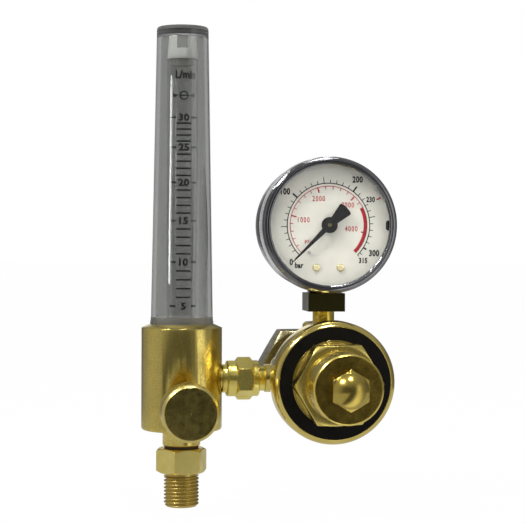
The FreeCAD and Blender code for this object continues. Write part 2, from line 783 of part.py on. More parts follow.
def make_gland():
    """Gland nut that guides the valve's spindle and holds its seal."""
    thread_hole = "spindle_thread_radius + thread_gap"
    spindle_hole = "spindle_radius + running_gap"
    body = turned("valve_gland", [
        ("stem_seal_radius + thread_gap", "gland_start"),
        ("gland_thread_radius - thread_gap", "gland_start"),
        ("gland_thread_radius - thread_gap", "spot_face_reach"),
        ("gland_hex / 2 / cos(30)", "spot_face_reach"),
        ("gland_hex / 2 / cos(30)", "gland_hex_front - 0.6"),
        ("gland_hex / 2 - 0.2", "gland_hex_front"),
        ("gland_collar_radius", "gland_hex_front"),
        ("gland_collar_radius", "gland_front - 0.5"),
        ("gland_collar_radius - 0.5", "gland_front"),
        (spindle_hole, "gland_front"),
        (spindle_hole, "gland_front - gland_lip"),
        (thread_hole, "gland_front - gland_lip"),
        (thread_hole, "stem_seal_end"),
        ("stem_seal_radius + thread_gap", "stem_seal_end"),
    ], VALVE_AXIS, FACING_FRONT)
    cut_hexagon(body, "gland_hex", "0", "spot_face_reach", "gland_hex_height")
    return body


def make_stem_seal():
    """Rubber ring round the spindle."""
    body = new_body("stem_seal", VALVE_AXIS, FACING_FRONT)
    sketch = new_sketch(body, "XZ_Plane")
    inner = "spindle_radius + running_gap"
    wire = f"(stem_seal_radius - {inner}) / 2"
    draw_circle(sketch, f"(stem_seal_radius + {inner}) / 2", "gland_start + stem_seal_height / 2", wire)
    turn_sketch(body, sketch)
    return body


def make_needle():
    """Spindle with its cone in the seat, its thread in the gland and its end in the knob."""
    return turned("needle_spindle", [
        ("0", "needle_tip"),
        ("needle_tip_radius", "needle_tip"),
        ("spindle_radius", "needle_root"),
        ("spindle_radius", "spindle_thread_start"),
        ("spindle_thread_radius", "spindle_thread_start"),
        ("spindle_thread_radius", "spindle_thread_end"),
        ("spindle_radius", "spindle_thread_end"),
        ("spindle_radius", "spindle_end"),
        ("0", "spindle_end"),
    ], VALVE_AXIS, FACING_FRONT)


def make_knob():
    """Plain turned knob with a wide chamfer and a centre mark."""
    body = turned("flow_knob", [
        ("spindle_radius + running_gap", "knob_back"),
        ("knob_radius - 0.5", "knob_back"),
        ("knob_radius", "knob_back + 0.5"),
        ("knob_radius", "knob_face - knob_chamfer"),
        ("knob_radius - knob_chamfer", "knob_face"),
        ("0.3", "knob_face"),
        ("0", "knob_face - 0.3"),
        ("0", "knob_back + knob_bore_depth"),
        ("spindle_radius + running_gap", "knob_back + knob_bore_depth"),
    ], VALVE_AXIS, FACING_FRONT)
    add_turning(body, [
        ("-spindle_radius + 0.5", "0"),
        ("-spindle_radius + 0.5", "knob_screw_radius + running_gap"),
        ("-knob_radius - 1", "knob_screw_radius + running_gap"),
        ("-knob_radius - 1", "0"),
    ], plane="YZ_Plane", shift=("0", "knob_back + knob_bore_depth / 2", "0"), axis="H_Axis", cut=True)
    return body


def make_knob_screw():
    """Grub screw that holds the knob on the spindle."""
    body = new_body("knob_screw", VALVE_AXIS, FACING_FRONT)
    add_turning(body, [
        ("-spindle_radius - running_gap", "0"),
        ("-spindle_radius - running_gap", "knob_screw_radius - 0.4"),
        ("-spindle_radius - running_gap - 0.4", "knob_screw_radius"),
        ("-knob_radius + 1", "knob_screw_radius"),
        ("-knob_radius + 1", "knob_screw_radius / 2"),
        ("-knob_radius + 3", "knob_screw_radius / 2"),
        ("-knob_radius + 3", "0"),
    ], plane="YZ_Plane", shift=("0", "knob_back + knob_bore_depth / 2", "0"), axis="H_Axis")
    return body


def make_adapter():
    """Outlet adapter: a hexagon with a hose thread below and a spigot above."""
    corner = "adapter_hex / 2 / cos(30)"
    bevel = f"({corner} - adapter_hex / 2 + 0.3) * tan(30)"
    body = turned("outlet_adapter", [
        ("adapter_bore_radius", "outlet_end"),
        ("outlet_thread_radius - outlet_thread_chamfer", "outlet_end"),
        ("outlet_thread_radius", "outlet_end + outlet_thread_chamfer"),
        ("outlet_thread_radius", "outlet_thread_top"),
        ("adapter_relief_radius", "outlet_thread_top"),
        ("adapter_relief_radius", "adapter_hex_foot"),
        ("adapter_hex / 2 - 0.3", "adapter_hex_foot"),
        (corner, f"adapter_hex_foot + {bevel}"),
        (corner, f"adapter_hex_top - {bevel}"),
        ("adapter_hex / 2 - 0.3", "adapter_hex_top"),
        ("adapter_thread_radius - thread_gap", "adapter_hex_top"),
        ("adapter_thread_radius - thread_gap", "neck_end + adapter_thread_depth - side_gap"),
        ("adapter_bore_radius", "neck_end + adapter_thread_depth - side_gap"),
    ], FLOW_AXIS, UPRIGHT)
    cut_hexagon(body, "adapter_hex", "adapter_hex_turn", "adapter_hex_foot", "adapter_hex_height")
    return body


def make_union():
    """Stem, seal, nut and tail that join the regulator to the flow meter."""
    turned("union_stem", [
        ("union_drill_radius", "flow_body_radius - union_port_depth + side_gap"),
        ("union_port_radius - thread_gap", "flow_body_radius - union_port_depth + side_gap"),
        ("union_port_radius - thread_gap", "flow_body_radius"),
        ("stem_shoulder_radius", "flow_body_radius"),
        ("stem_shoulder_radius", "stem_shoulder_end"),
        ("union_thread_radius", "stem_shoulder_end + 0.4"),
        ("union_thread_radius", "stem_end"),
        ("union_drill_radius", "stem_end"),
    ], FLOW_AXIS, FACING_RIGHT)
    ring("union_seal", "union_drill_radius", "union_thread_radius - 0.4",
         "stem_end", "tail_start", FLOW_AXIS, FACING_RIGHT)
    turned("union_tail", [
        ("tail_bore_radius", "tail_start"),
        ("union_thread_radius - 0.1", "tail_start"),
        ("union_thread_radius - 0.1", "tail_shoulder"),
        ("tail_radius", "tail_shoulder"),
        ("tail_radius", "tail_end"),
        ("tail_thread_radius - thread_gap", "tail_end"),
        ("tail_thread_radius - thread_gap", "tail_end + tail_thread_depth - side_gap"),
        ("tail_bore_radius", "tail_end + tail_thread_depth - side_gap"),
    ], FLOW_AXIS, FACING_RIGHT)
    corner = "union_hex / 2 / cos(30)"
    bevel = f"({corner} - union_collar_radius) * tan(35)"
    nut = turned("union_nut", [
        ("union_thread_radius + thread_gap", "stem_shoulder_end"),
        ("union_collar_radius - 0.4", "stem_shoulder_end"),
        ("union_collar_radius", "stem_shoulder_end + 0.4"),
        ("union_collar_radius", "union_hex_start"),
        (corner, f"union_hex_start + {bevel}"),
        (corner, f"union_hex_end - {bevel}"),
        ("union_collar_radius", "union_hex_end"),
        ("union_collar_radius", "union_end - 0.4"),
        ("union_collar_radius - 0.4", "union_end"),
        ("tail_radius + thread_gap", "union_end"),
        ("tail_radius + thread_gap", "union_end - union_lip"),
        ("union_thread_radius + thread_gap", "union_end - union_lip"),
    ], FLOW_AXIS, FACING_RIGHT)
    cut_hexagon(nut, "union_hex", "0", "union_hex_start", "union_hex_end - union_hex_start")


def make_flow_meter():
    """Every piece on the flow tube's axis."""
    make_flow_body()
    ring("cover_gasket", "cover_socket_radius - thread_gap - cover_spigot_wall",
         "cover_socket_radius - thread_gap", "socket_floor", "cover_foot", FLOW_AXIS, UPRIGHT)
    make_cover()
    ring("tube_gasket", "tube_bore_foot", "tube_radius", "tube_seat", "tube_foot", FLOW_AXIS, UPRIGHT)
    make_tube()
    make_ball()
    make_plug()
    make_gland()
    make_stem_seal()
    make_needle()
    make_knob()
    make_knob_screw()
    ring("adapter_washer", "adapter_thread_radius", "adapter_washer_radius",
         "adapter_hex_top", "neck_end", FLOW_AXIS, UPRIGHT)
    make_adapter()
    make_union()


# Regulator

def make_regulator_body():
    """Brass body: a wide cup in front, a bossed barrel behind, and three ports."""
    body = turned("regulator_body", [
        ("high_chamber_radius", "-back_boss_end + nipple_thread_depth"),
        ("nipple_thread_radius", "-back_boss_end + nipple_thread_depth"),
        ("nipple_thread_radius", "-back_boss_end"),
        ("back_boss_radius - 0.8", "-back_boss_end"),
        ("back_boss_radius", "-back_boss_end + 0.8"),
        ("back_boss_radius", "-body_back - 4"),
        ("body_radius - 2", "-body_back"),
        ("body_radius", "-body_back + 2", "2"),
        ("body_radius", "cup_back - 2"),
        ("cup_radius - 2", "cup_back"),
        ("cup_radius", "cup_back + 2", "2"),
        ("cup_radius", "cup_face - cup_rim_height - 1.5"),
        ("cup_radius - cup_rim_width", "cup_face", "4"),
        ("label_outer + 0.1", "cup_face"),
        ("label_outer + 0.1", "label_face"),
        ("label_inner - 0.1", "label_face"),
        ("label_inner - 0.1", "cup_face"),
        ("bonnet_thread_radius", "cup_face"),
        ("bonnet_thread_radius", "diaphragm_seat"),
        ("low_chamber_radius", "diaphragm_seat"),
        ("low_chamber_radius", "low_chamber_floor"),
        ("nozzle_thread_radius", "low_chamber_floor"),
        ("nozzle_thread_radius", "high_chamber_front"),
        ("high_chamber_radius", "high_chamber_front"),
    ], REGULATOR_AXIS, FACING_FRONT)
    flare = "outlet_boss_radius + outlet_boss_flare"
    add_turning(body, [
        ("-outlet_boss_reach", "0"),
        ("-outlet_boss_reach", "outlet_boss_radius"),
        ("-body_radius - outlet_boss_flare + 0.6", "outlet_boss_radius"),
        ("-body_radius + 0.6", flare, "-outlet_boss_flare"),
        ("-high_chamber_radius - 2", flare),
        ("-high_chamber_radius - 2", "0"),
    ], axis="H_Axis")
    add_turning(body, [
        ("gauge_boss_top", "0"),
        ("gauge_boss_top", "gauge_boss_radius - 0.8"),
        ("gauge_boss_top - 0.8", "gauge_boss_radius"),
        ("body_radius - 3", "gauge_boss_radius"),
        ("body_radius - 3", "0"),
    ], plane="YZ_Plane", axis="H_Axis")
    add_turning(body, [
        ("-outlet_boss_reach - 1", "0"),
        ("-outlet_boss_reach - 1", "tail_thread_radius"),
        ("-outlet_boss_reach + tail_thread_depth", "tail_thread_radius"),
        ("-outlet_boss_reach + tail_thread_depth", "tail_bore_radius"),
        ("-low_port_offset + low_port_radius", "tail_bore_radius"),
        ("-low_port_offset + low_port_radius", "0"),
    ], axis="H_Axis", cut=True)
    add_turning(body, [
        ("gauge_boss_top + 1", "0"),
        ("gauge_boss_top + 1", "gauge_thread_radius"),
        ("gauge_boss_top - gauge_thread_depth", "gauge_thread_radius"),
        ("gauge_boss_top - gauge_thread_depth", "gauge_drill_radius"),
        ("high_chamber_radius - 1", "gauge_drill_radius"),
        ("high_chamber_radius - 1", "0"),
    ], plane="YZ_Plane", axis="H_Axis", cut=True)
    drill_up(body, "-low_port_offset", "0", "low_port_radius", "0", "low_chamber_floor + 1")
    return body


def make_bonnet():
    """Bonnet cut from a hexagon bar: thread, hexagon and a plain sleeve over the spring."""
    corner = "bonnet_hex / 2 / cos(30)"
    body = turned("bonnet", [
        ("bonnet_cavity_radius", "bonnet_back"),
        ("bonnet_thread_radius - thread_gap", "bonnet_back"),
        ("bonnet_thread_radius - thread_gap", "bonnet_hex_back"),
        (corner, "bonnet_hex_back"),
        (corner, "bonnet_hex_front - bonnet_hex_chamfer"),
        ("bonnet_hex / 2 - 0.9", "bonnet_hex_front", "3.2"),
        ("bonnet_sleeve_radius", "bonnet_hex_front"),
        ("bonnet_sleeve_radius", "bonnet_front - bonnet_sleeve_chamfer"),
        ("bonnet_sleeve_radius - bonnet_sleeve_chamfer", "bonnet_front"),
        ("adjusting_thread_radius + thread_gap", "bonnet_front"),
        ("adjusting_thread_radius + thread_gap", "bonnet_inner"),
        ("bonnet_cavity_radius", "bonnet_inner"),
    ], REGULATOR_AXIS, FACING_FRONT)
    cut_hexagon(body, "bonnet_hex", "bonnet_hex_turn", "bonnet_hex_back",
                "bonnet_hex_front - bonnet_hex_back")
    return body


def make_acorn():
    """Domed cap nut that locks the adjusting screw."""
    corner = "acorn_hex / 2 / cos(30)"
    thread = "adjusting_thread_radius + thread_gap"
    body = turned("cap_nut", [
        (thread, "bonnet_front"),
        ("acorn_hex / 2", "bonnet_front"),
        (corner, "bonnet_front + 0.5"),
        (corner, "bonnet_front + acorn_hex_height - 0.6"),
        ("acorn_dome_radius", "bonnet_front + acorn_hex_height"),
        ("0.3", "bonnet_front + acorn_height", "7.4"),
        ("0", "bonnet_front + acorn_height"),
        ("0", "bonnet_front + acorn_height - 1.6"),
        (thread, "bonnet_front + acorn_height - 3"),
    ], REGULATOR_AXIS, FACING_FRONT)
    cut_hexagon(body, "acorn_hex", "30", "bonnet_front", "acorn_hex_height")
    return body


def coil(mean, wire, length, turns):
    """A spring's coil as a run of short straight rods with six sides."""
    steps = 14
    count = int(round(turns * steps))
    rise = (length - 2 * wire) / count
    spots = []
    for index in range(count + 1):
        angle = 2 * math.pi * index / steps
        spots.append(V(mean * math.cos(angle), mean * math.sin(angle), wire + rise * index))
    path = Part.makePolygon(spots)
    ahead = (spots[1] - spots[0]).normalize()
    side = V(0, 0, 1).cross(ahead).normalize()
    up = ahead.cross(side)
    ring_spots = []
    for index in range(7):
        angle = 2 * math.pi * index / 6
        ring_spots.append(spots[0] + side * (wire * math.cos(angle)) + up * (wire * math.sin(angle)))
    section = Part.makePolygon(ring_spots)
    return path.makePipeShell([section], True, False, 1)


def make_springs():
    """Range spring in the bonnet and closing spring behind the poppet."""
    shape = coil(number("range_spring_radius"), number("range_wire_radius"),
                 number("spring_room"), number("range_spring_turns"))
    feature_node("range_spring", shape, ("0", "plane_back - plate_front", "0"), FACING_FRONT)
    shape = coil(number("valve_spring_radius"), number("valve_wire_radius"),
                 number("valve_spring_room"), number("valve_spring_turns"))
    feature_node("valve_spring", shape, ("0", "plane_back - nipple_front", "0"), FACING_FRONT)


def make_diaphragm_set():
    """Diaphragm, the plate in front of it and the washer that the bonnet presses."""
    ring("diaphragm", "plate_stud_radius + side_gap", "bonnet_thread_radius - side_gap",
         "diaphragm_seat", "washer_back", REGULATOR_AXIS, FACING_FRONT)
    ring("slip_washer", "plate_radius + 1.2", "bonnet_thread_radius - side_gap",
         "washer_back", "bonnet_back", REGULATOR_AXIS, FACING_FRONT)
    turned("diaphragm_plate", [
        ("0", "plate_nut_back + 0.4"),
        ("plate_stud_radius", "plate_nut_back + 0.4"),
        ("plate_stud_radius", "washer_back"),
        ("plate_radius", "washer_back"),
        ("plate_radius", "plate_front - 1.0"),
        ("range_spring_radius - range_wire_radius - 0.3", "plate_front - 1.0 + 0.9"),
        ("range_spring_radius - range_wire_radius - 0.3", "plate_front"),
        ("range_spring_radius - range_wire_radius - 0.3", "plate_front + 1.0"),
        ("0", "plate_front + 1.0"),
    ], REGULATOR_AXIS, FACING_FRONT)
    ring("diaphragm_nut", "plate_stud_radius + thread_gap", "plate_nut_radius",
         "plate_nut_back", "diaphragm_seat", REGULATOR_AXIS, FACING_FRONT)


def make_adjuster():
    """Spring button and the preset adjusting screw under the cap nut."""
    turned("spring_button", [
        ("0", "button_back - 1.0"),
        ("range_spring_radius - range_wire_radius - 0.3", "button_back - 1.0"),
        ("range_spring_radius - range_wire_radius - 0.3", "button_back"),
        ("button_radius", "button_back"),
        ("button_radius", "button_front - 1.0"),
        ("2.0", "button_front"),
        ("0", "button_front"),
    ], REGULATOR_AXIS, FACING_FRONT)
    turned("adjusting_screw", [
        ("0", "button_front"),
        ("2.0", "button_front"),
        ("adjusting_thread_radius", "button_front + 1.2"),
        ("adjusting_thread_radius", "button_front + adjusting_screw_length - 0.6"),
        ("adjusting_thread_radius - 0.6", "button_front + adjusting_screw_length"),
        ("0", "button_front + adjusting_screw_length"),
    ], REGULATOR_AXIS, FACING_FRONT)


def make_inlet_valve():
    """Seat screwed into the body and the poppet that closes on it from behind."""
    turned("valve_seat", [
        ("seat_bore_radius", "seat_lip_back"),
        ("seat_bore_radius + 0.6", "seat_lip_back"),
        ("seat_bore_radius + 1.2", "high_chamber_front"),
        ("nozzle_thread_radius - thread_gap", "high_chamber_front"),
        ("nozzle_thread_radius - thread_gap", "low_chamber_floor"),
        ("nozzle_thread_radius + 1", "low_chamber_floor"),
        ("nozzle_thread_radius + 1", "low_chamber_floor + 1"),
        ("seat_bore_radius", "low_chamber_floor + 1"),
    ], REGULATOR_AXIS, FACING_FRONT)
    turned("valve_poppet", [
        ("0", "poppet_back - poppet_guide_length"),
        ("poppet_guide_radius", "poppet_back - poppet_guide_length"),
        ("poppet_guide_radius", "poppet_back"),
        ("poppet_radius", "poppet_back"),
        ("poppet_radius", "poppet_front - 0.5"),
        ("poppet_radius - 0.5", "poppet_front"),
        ("poppet_pin_radius", "poppet_front"),
        ("poppet_pin_radius", "plate_nut_back"),
        ("0", "plate_nut_back"),
    ], REGULATOR_AXIS, FACING_FRONT)


def make_inlet():
    """Nipple, filter, sealing washer and the nut that turns round the nipple."""
    turned("inlet_nipple", [
        ("nipple_bore_radius", "nipple_front"),
        ("nipple_thread_radius - thread_gap", "nipple_front"),
        ("nipple_thread_radius - thread_gap", "-back_boss_end"),
        ("nipple_shoulder_radius", "-back_boss_end"),
        ("nipple_shoulder_radius", "nipple_stem_front + 0.6"),
        ("nipple_shoulder_radius - 0.6", "nipple_stem_front"),
        ("nipple_stem_radius", "nipple_stem_front"),
        ("nipple_stem_radius", "collar_front"),
        ("nipple_collar_radius", "collar_front"),
        ("nipple_collar_radius", "collar_back"),
        ("filter_radius + thread_gap", "collar_back"),
        ("filter_radius + thread_gap", "collar_back + filter_height + 0.6"),
        ("nipple_bore_radius", "collar_back + filter_height + 0.6"),
    ], REGULATOR_AXIS, FACING_FRONT)
    turned("inlet_filter", [
        ("0", "collar_back + 0.6"),
        ("filter_radius", "collar_back + 0.6"),
        ("filter_radius", "collar_back + filter_height + 0.6"),
        ("0", "collar_back + filter_height + 0.6"),
    ], REGULATOR_AXIS, FACING_FRONT)
    ring("inlet_washer", "filter_radius", "inlet_washer_radius",
         "washer_face", "collar_back", REGULATOR_AXIS, FACING_FRONT)
    corner = "nut_hex / 2 / cos(30)"
    nut = turned("inlet_nut", [
        ("nut_thread_radius + nut_mouth_chamfer", "nut_mouth"),
        ("nut_hex / 2 - 0.4", "nut_mouth"),
        (corner, "nut_mouth + nut_chamfer"),
        (corner, "nut_front - nut_chamfer"),
        ("nut_hex / 2 - 0.4", "nut_front"),
        ("nipple_stem_radius + side_gap", "nut_front"),
        ("nipple_stem_radius + side_gap", "nut_front - nut_lip"),
        ("nut_relief_radius", "nut_front - nut_lip"),
        ("nut_relief_radius", "-inlet_reach + 0.2"),
        ("nut_thread_radius", "-inlet_reach + 0.2"),
        ("nut_thread_radius", "nut_mouth + nut_mouth_chamfer"),
    ], REGULATOR_AXIS, FACING_FRONT)
    cut_hexagon(nut, "nut_hex", "0", "nut_mouth", "nut_front - nut_mouth")


def make_regulator():
    """Every piece on the regulator's axis."""
    make_regulator_body()
    ring("label_ring", "label_inner", "label_outer", "label_face",
         "label_face + label_thickness", REGULATOR_AXIS, FACING_FRONT)
    make_bonnet()
    make_acorn()
    make_adjuster()
    make_diaphragm_set()
    make_springs()
    make_inlet_valve()
    make_inlet()


# Gauge

def make_case():
    """Deep round case with a slot for the stem in its underside."""
    body = turned("gauge_case", [
        ("0", "-case_back"),
        ("case_radius - case_round", "-case_back"),
        ("case_radius", "-case_back + case_round", "case_round"),
        ("case_radius", "case_front"),
        ("case_radius - case_wall", "case_front"),
        ("case_radius - case_wall", "-case_back + case_round"),
        ("case_radius - case_round", "-case_back + case_wall", "-case_round + case_wall"),
        ("0", "-case_back + case_wall"),
    ], GAUGE_AXIS, FACING_FRONT)
    sketch = new_sketch(body, "XY_Plane", ("0", "0", "-socket_front - socket_depth - thread_gap"))
    draw_outline(sketch, box_corners("-socket_half_width - thread_gap", "-case_radius - 1",
                                     "socket_half_width + thread_gap", "-case_radius + 3"))
    cut_up(body, sketch, "socket_depth + 2 * thread_gap")
    return body


def make_bezel():
    """Bright rolled ring that holds the window."""
    skirt = "case_radius + thread_gap"
    return turned("gauge_bezel", [
        (skirt, "bezel_back"),
        ("bezel_radius - 0.4", "bezel_back"),
        ("bezel_radius", "bezel_back + 0.4", "0.4"),
        ("bezel_radius", "bezel_front - 1.6"),
        ("bezel_radius - 1.6", "bezel_front", "1.6"),
        ("bezel_opening + 0.5", "bezel_front"),
        ("bezel_opening", "bezel_front - 0.5", "0.5"),
        ("bezel_opening", "window_front"),
        (skirt, "window_front"),
    ], GAUGE_AXIS, FACING_FRONT)


def make_window():
    """Clear window under the bezel."""
    return turned("gauge_window", [
        ("0", "window_back"),
        ("case_radius - 0.1", "window_back"),
        ("case_radius - 0.1", "window_front"),
        ("0", "window_front"),
    ], GAUGE_AXIS, FACING_FRONT)


def make_dial():
    """Dial disc with a rounded notch on each side and holes for its screws and stop pin."""
    hole = "pointer_shaft_radius + dial_hole_play"
    body = turned("dial", [
        (hole, "dial_back"),
        ("dial_radius", "dial_back"),
        ("dial_radius", "dial_face"),
        (hole, "dial_face"),
    ], GAUGE_AXIS, FACING_FRONT)
    depth = "dial_notch_depth"
    half = "dial_notch_height / 2"
    bend = "dial_notch_round"
    notch = f"dial_radius - {depth}"
    for half_turns, side in enumerate(("", "-")):
        twist = Turn(V(0, 0, 1), 180 * half_turns)
        sketch = new_sketch(body, "XY_Plane", ("0", "0", "dial_back - 1"), twist)
        draw_outline(sketch, [
            (f"{notch} + {bend}", f"-{half}", bend),
            ("dial_radius + 1", f"-{half}"),
            ("dial_radius + 1", half),
            (f"{notch} + {bend}", half),
            (notch, f"{half} - {bend}", bend),
            (notch, f"-{half} + {bend}"),
        ])
        cut_up(body, sketch, "dial_thickness + 2")
        drill_up(body, f"{side}dial_screw_offset", "-dial_screw_drop",
                 "dial_screw_radius + running_gap", "dial_back - 1", "dial_thickness + 2")
    drill_up(body, "-stop_pin_left", "-stop_pin_drop", "stop_pin_radius", "dial_back - 1",
             "dial_thickness + 2")


def make_dial_screws():
    """The two screws through the dial's foot, as one node."""
    solids = []
    for side in (-1, 1):
        spot = V(side * number("dial_screw_offset"), -number("dial_screw_drop"), number("front_plate_back"))
        shank_length = number("dial_face - front_plate_back")
        shank = Part.makeCylinder(number("dial_screw_radius"), shank_length, spot)
        top = spot + V(0, 0, shank_length)
        head = Part.makeCylinder(number("dial_screw_head_radius"), number("dial_screw_head_height"), top)
        rim = [edge for edge in head.Edges if edge.BoundBox.ZMin > top.z + 0.1]
        head = head.makeFillet(number("dial_screw_head_round"), rim[:1])
        solids.append(shank.fuse(head).removeSplitter())
    feature_node("dial_screws", Part.makeCompound(solids), GAUGE_AXIS, FACING_FRONT)


def make_socket():
    """Stem with its square, and the socket block inside the case."""
    body = new_body("gauge_stem", GAUGE_AXIS, FACING_FRONT)
    half = "stem_block / 2"
    pad_up(body, box_corners(f"-{half}", "stem_block_low", half, "stem_block_high"), f"-{half}", "stem_block")
    add_turning(body, [
        ("stem_block_low + 0.5", "0"),
        ("stem_block_low + 0.5", "stem_neck_radius"),
        ("gauge_port_mouth - 0.4", "stem_neck_radius"),
        ("gauge_port_mouth - 0.4", "gauge_thread_radius - thread_gap"),
        ("stem_foot", "gauge_thread_radius - thread_gap"),
        ("stem_foot", "0"),
    ], plane="YZ_Plane", axis="H_Axis")
    depth = "socket_depth"
    back = "-socket_front - socket_depth"
    pad_up(body, box_corners("-socket_half_width", "stem_block_high - 1", "socket_half_width", "-socket_step + 1"),
           back, depth)
    pad_up(body, box_corners("-socket_half_width", "-socket_step", "socket_half_width", "-socket_top"), back, depth)
    pad_up(body, box_corners("-lug_reach", "-socket_step", "-socket_half_width + 1", "-lug_top"), back, depth)
    pad_up(body, box_corners("-lug_reach", "-socket_step", "-movement_half_width - thread_gap", "-lug_top"),
           "-socket_front - 1", "socket_front + 1 + tube_arc_width / 2 + lug_front_wall")
    twist = Turn(V(0, 1, 0), number("tube_arc_start"))
    sketch = new_sketch(body, "XZ_Plane", twist=twist)
    arc_section(sketch, "tube_arc_thickness", "tube_arc_width")
    turn_sketch(body, sketch, cut=True, angle="tube_arc_sweep")
    for side in ("-", ""):
        drill_up(body, f"{side}movement_screw_side", "-movement_screw_drop", "movement_screw_radius + running_gap",
                 "-socket_front - movement_screw_depth", "movement_screw_depth + 1")
    drill_passages(body)
    return body


def drill_passages(body):
    """The gas way from the stem's foot, through the square and the socket, to the tube's end."""
    add_turning(body, [
        ("stem_foot - 1", "0"),
        ("stem_foot - 1", "stem_bore_radius"),
        ("stem_block_low + 3", "stem_bore_radius"),
        ("stem_block_low + 3", "0"),
    ], plane="YZ_Plane", axis="H_Axis", cut=True)
    drill_up(body, "0", "stem_block_low + 2", "passage_radius", "socket_middle", "-socket_middle")
    add_turning(body, [
        ("stem_block_low + 2", "0"),
        ("stem_block_low + 2", "passage_radius"),
        ("passage_height", "passage_radius"),
        ("passage_height", "0"),
    ], plane="YZ_Plane", shift=("0", "socket_middle", "0"), axis="H_Axis", cut=True)
    tube_end = "(tube_end_angle + 3)"
    end_x = f"tube_arc_radius * cos({tube_end})"
    end_y = f"tube_arc_radius * sin({tube_end})"
    drill_up(body, end_x, end_y, "passage_radius", "socket_middle", "-socket_middle - 0.5")
    sketch = new_sketch(body, "XZ_Plane", ("0", "socket_middle", f"-({end_y})"))
    draw_outline(sketch, [("0", "0"), ("0", "passage_radius"), (end_x, "passage_radius"), (end_x, "0")])
    turn_sketch(body, sketch, "H_Axis", cut=True)


def make_pointer():
    """Black pointer with a fan-shaped tail and a round hub."""
    body = new_body("pointer", GAUGE_AXIS, FACING_FRONT)
    twist = Turn(V(0, 0, 1), number("pointer_zero_angle"))
    share = "(pointer_tail - pointer_tail_round) / pointer_tail"
    round_angle = "(pointer_tail_angle - pointer_tail_round / pointer_tail * 180 / pi)"
    side_x = "-(pointer_tail - pointer_tail_round) * cos(pointer_tail_angle)"
    side_y = f"(pointer_half_width + (pointer_tail * sin(pointer_tail_angle) - pointer_half_width) * {share})"
    end_x = f"-pointer_tail * cos{round_angle}"
    end_y = f"(pointer_tail * sin{round_angle})"
    pad_up(body, [
        (end_x, f"-{end_y}", "pointer_tail"),
        (side_x, f"-{side_y}", "pointer_tail_round"),
        ("0", "-pointer_half_width"),
        ("pointer_length", "-pointer_tip"),
        ("pointer_length", "pointer_tip"),
        ("0", "pointer_half_width"),
        (side_x, side_y),
        (end_x, end_y, "pointer_tail_round"),
    ], "pointer_back", "pointer_thickness", twist)
    peg_up(body, "0", "0", "pointer_hub_radius", "pointer_back - pointer_hub_sink",
           "pointer_hub_height + pointer_hub_sink")
    drill_up(body, "0", "0", "pointer_shaft_radius", "pointer_back - 1", "pointer_hub_height + 2")
    return body


def tooth_outline(module, teeth, first, last):
    """Corners of the teeth of a gear about its own centre, as straight-flanked teeth."""
    pitch = module * teeth / 2
    root = pitch - 1.25 * module
    tip = pitch + 0.95 * module
    step = 2 * math.pi / teeth
    corners = []
    for tooth in range(first, last + 1):
        middle = tooth * step
        for share, reach in ((-0.40, root), (-0.13, tip), (0.13, tip), (0.40, root)):
            angle = middle + share * step
            corners.append(V(reach * math.cos(angle), reach * math.sin(angle), 0))
    return corners


def make_pinion():
    """Pointer shaft with its pinion."""
    corners = tooth_outline(number("gear_module"), int(number("pinion_teeth")), 0,
                            int(number("pinion_teeth")) - 1)
    wheel = Part.Face(Part.makePolygon(corners + corners[:1]))
    wheel = wheel.extrude(V(0, 0, number("pinion_width")))
    wheel.translate(V(0, 0, number("pinion_back")))
    foot = number("back_plate_back")
    head = number("hub_front")
    shoulder_low = number("back_plate_front + side_gap")
    shoulder_high = number("front_plate_back - side_gap")
    shaft = Part.makeCylinder(number("pivot_radius"), shoulder_low - foot, V(0, 0, foot))
    barrel = Part.makeCylinder(number("pointer_shaft_radius") + 0.2, shoulder_high - shoulder_low,
                               V(0, 0, shoulder_low))
    spindle = Part.makeCylinder(number("pointer_shaft_radius"), head - shoulder_high, V(0, 0, shoulder_high))
    shape = shaft.fuse([barrel, spindle, wheel]).removeSplitter()
    return feature_node("pointer_shaft", shape, GAUGE_AXIS, FACING_FRONT)


def make_sector():
    """Toothed sector with its arbor, its tail arm and the pin for the link."""
    teeth = int(number("sector_teeth"))
    step = 360 / teeth
    first = int(math.ceil((90 - number("sector_right_angle")) / step))
    last = int(math.floor((90 + number("sector_left_angle")) / step))
    corners = tooth_outline(number("gear_module"), teeth, first, last)
    # The rest angle puts a gap of the sector opposite a tooth of the pinion.
    corners = [Turn(V(0, 0, 1), sector_phase(step)).multVec(corner) for corner in corners]
    hub = number("arbor_radius") + 1.2
    rim = Part.Face(Part.makePolygon([V(0, 0, 0)] + corners + [V(0, 0, 0)]))
    thick = V(0, 0, number("sector_thickness"))
    fan = rim.extrude(thick)
    fan = fan.fuse(Part.makeCylinder(hub, number("sector_thickness")))
    arm_turn = Turn(V(0, 0, 1), -number("tail_arm_angle"))
    reach = number("tail_arm_length")
    half = number("link_half_width")
    arm = Part.makeBox(reach, 2 * half, number("sector_thickness"), V(0, -half, 0))
    arm = arm.fuse(Part.makeCylinder(half, number("sector_thickness"), V(reach, 0, 0)))
    pin_length = number("link_back - sector_back + link_thickness + 0.2")
    arm = arm.fuse(Part.makeCylinder(number("tail_pin_radius"), pin_length, V(reach, 0, 0)))
    arm.rotate(V(0, 0, 0), V(0, 0, 1), -number("tail_arm_angle"))
    fan = fan.fuse(arm)
    fan.translate(V(0, 0, number("sector_back")))
    low = number("back_plate_front + side_gap")
    high = number("front_plate_back - side_gap")
    foot = number("back_plate_back")
    head = number("front_plate_front - 0.1")
    arbor = Part.makeCylinder(number("arbor_radius"), high - low, V(0, 0, low))
    pivot = Part.makeCylinder(number("pivot_radius"), head - foot, V(0, 0, foot))
    shape = fan.fuse([arbor, pivot]).removeSplitter()
    return feature_node("sector_gear", shape, ("0", "plane_back", "gauge_rise - sector_drop"), FACING_FRONT)


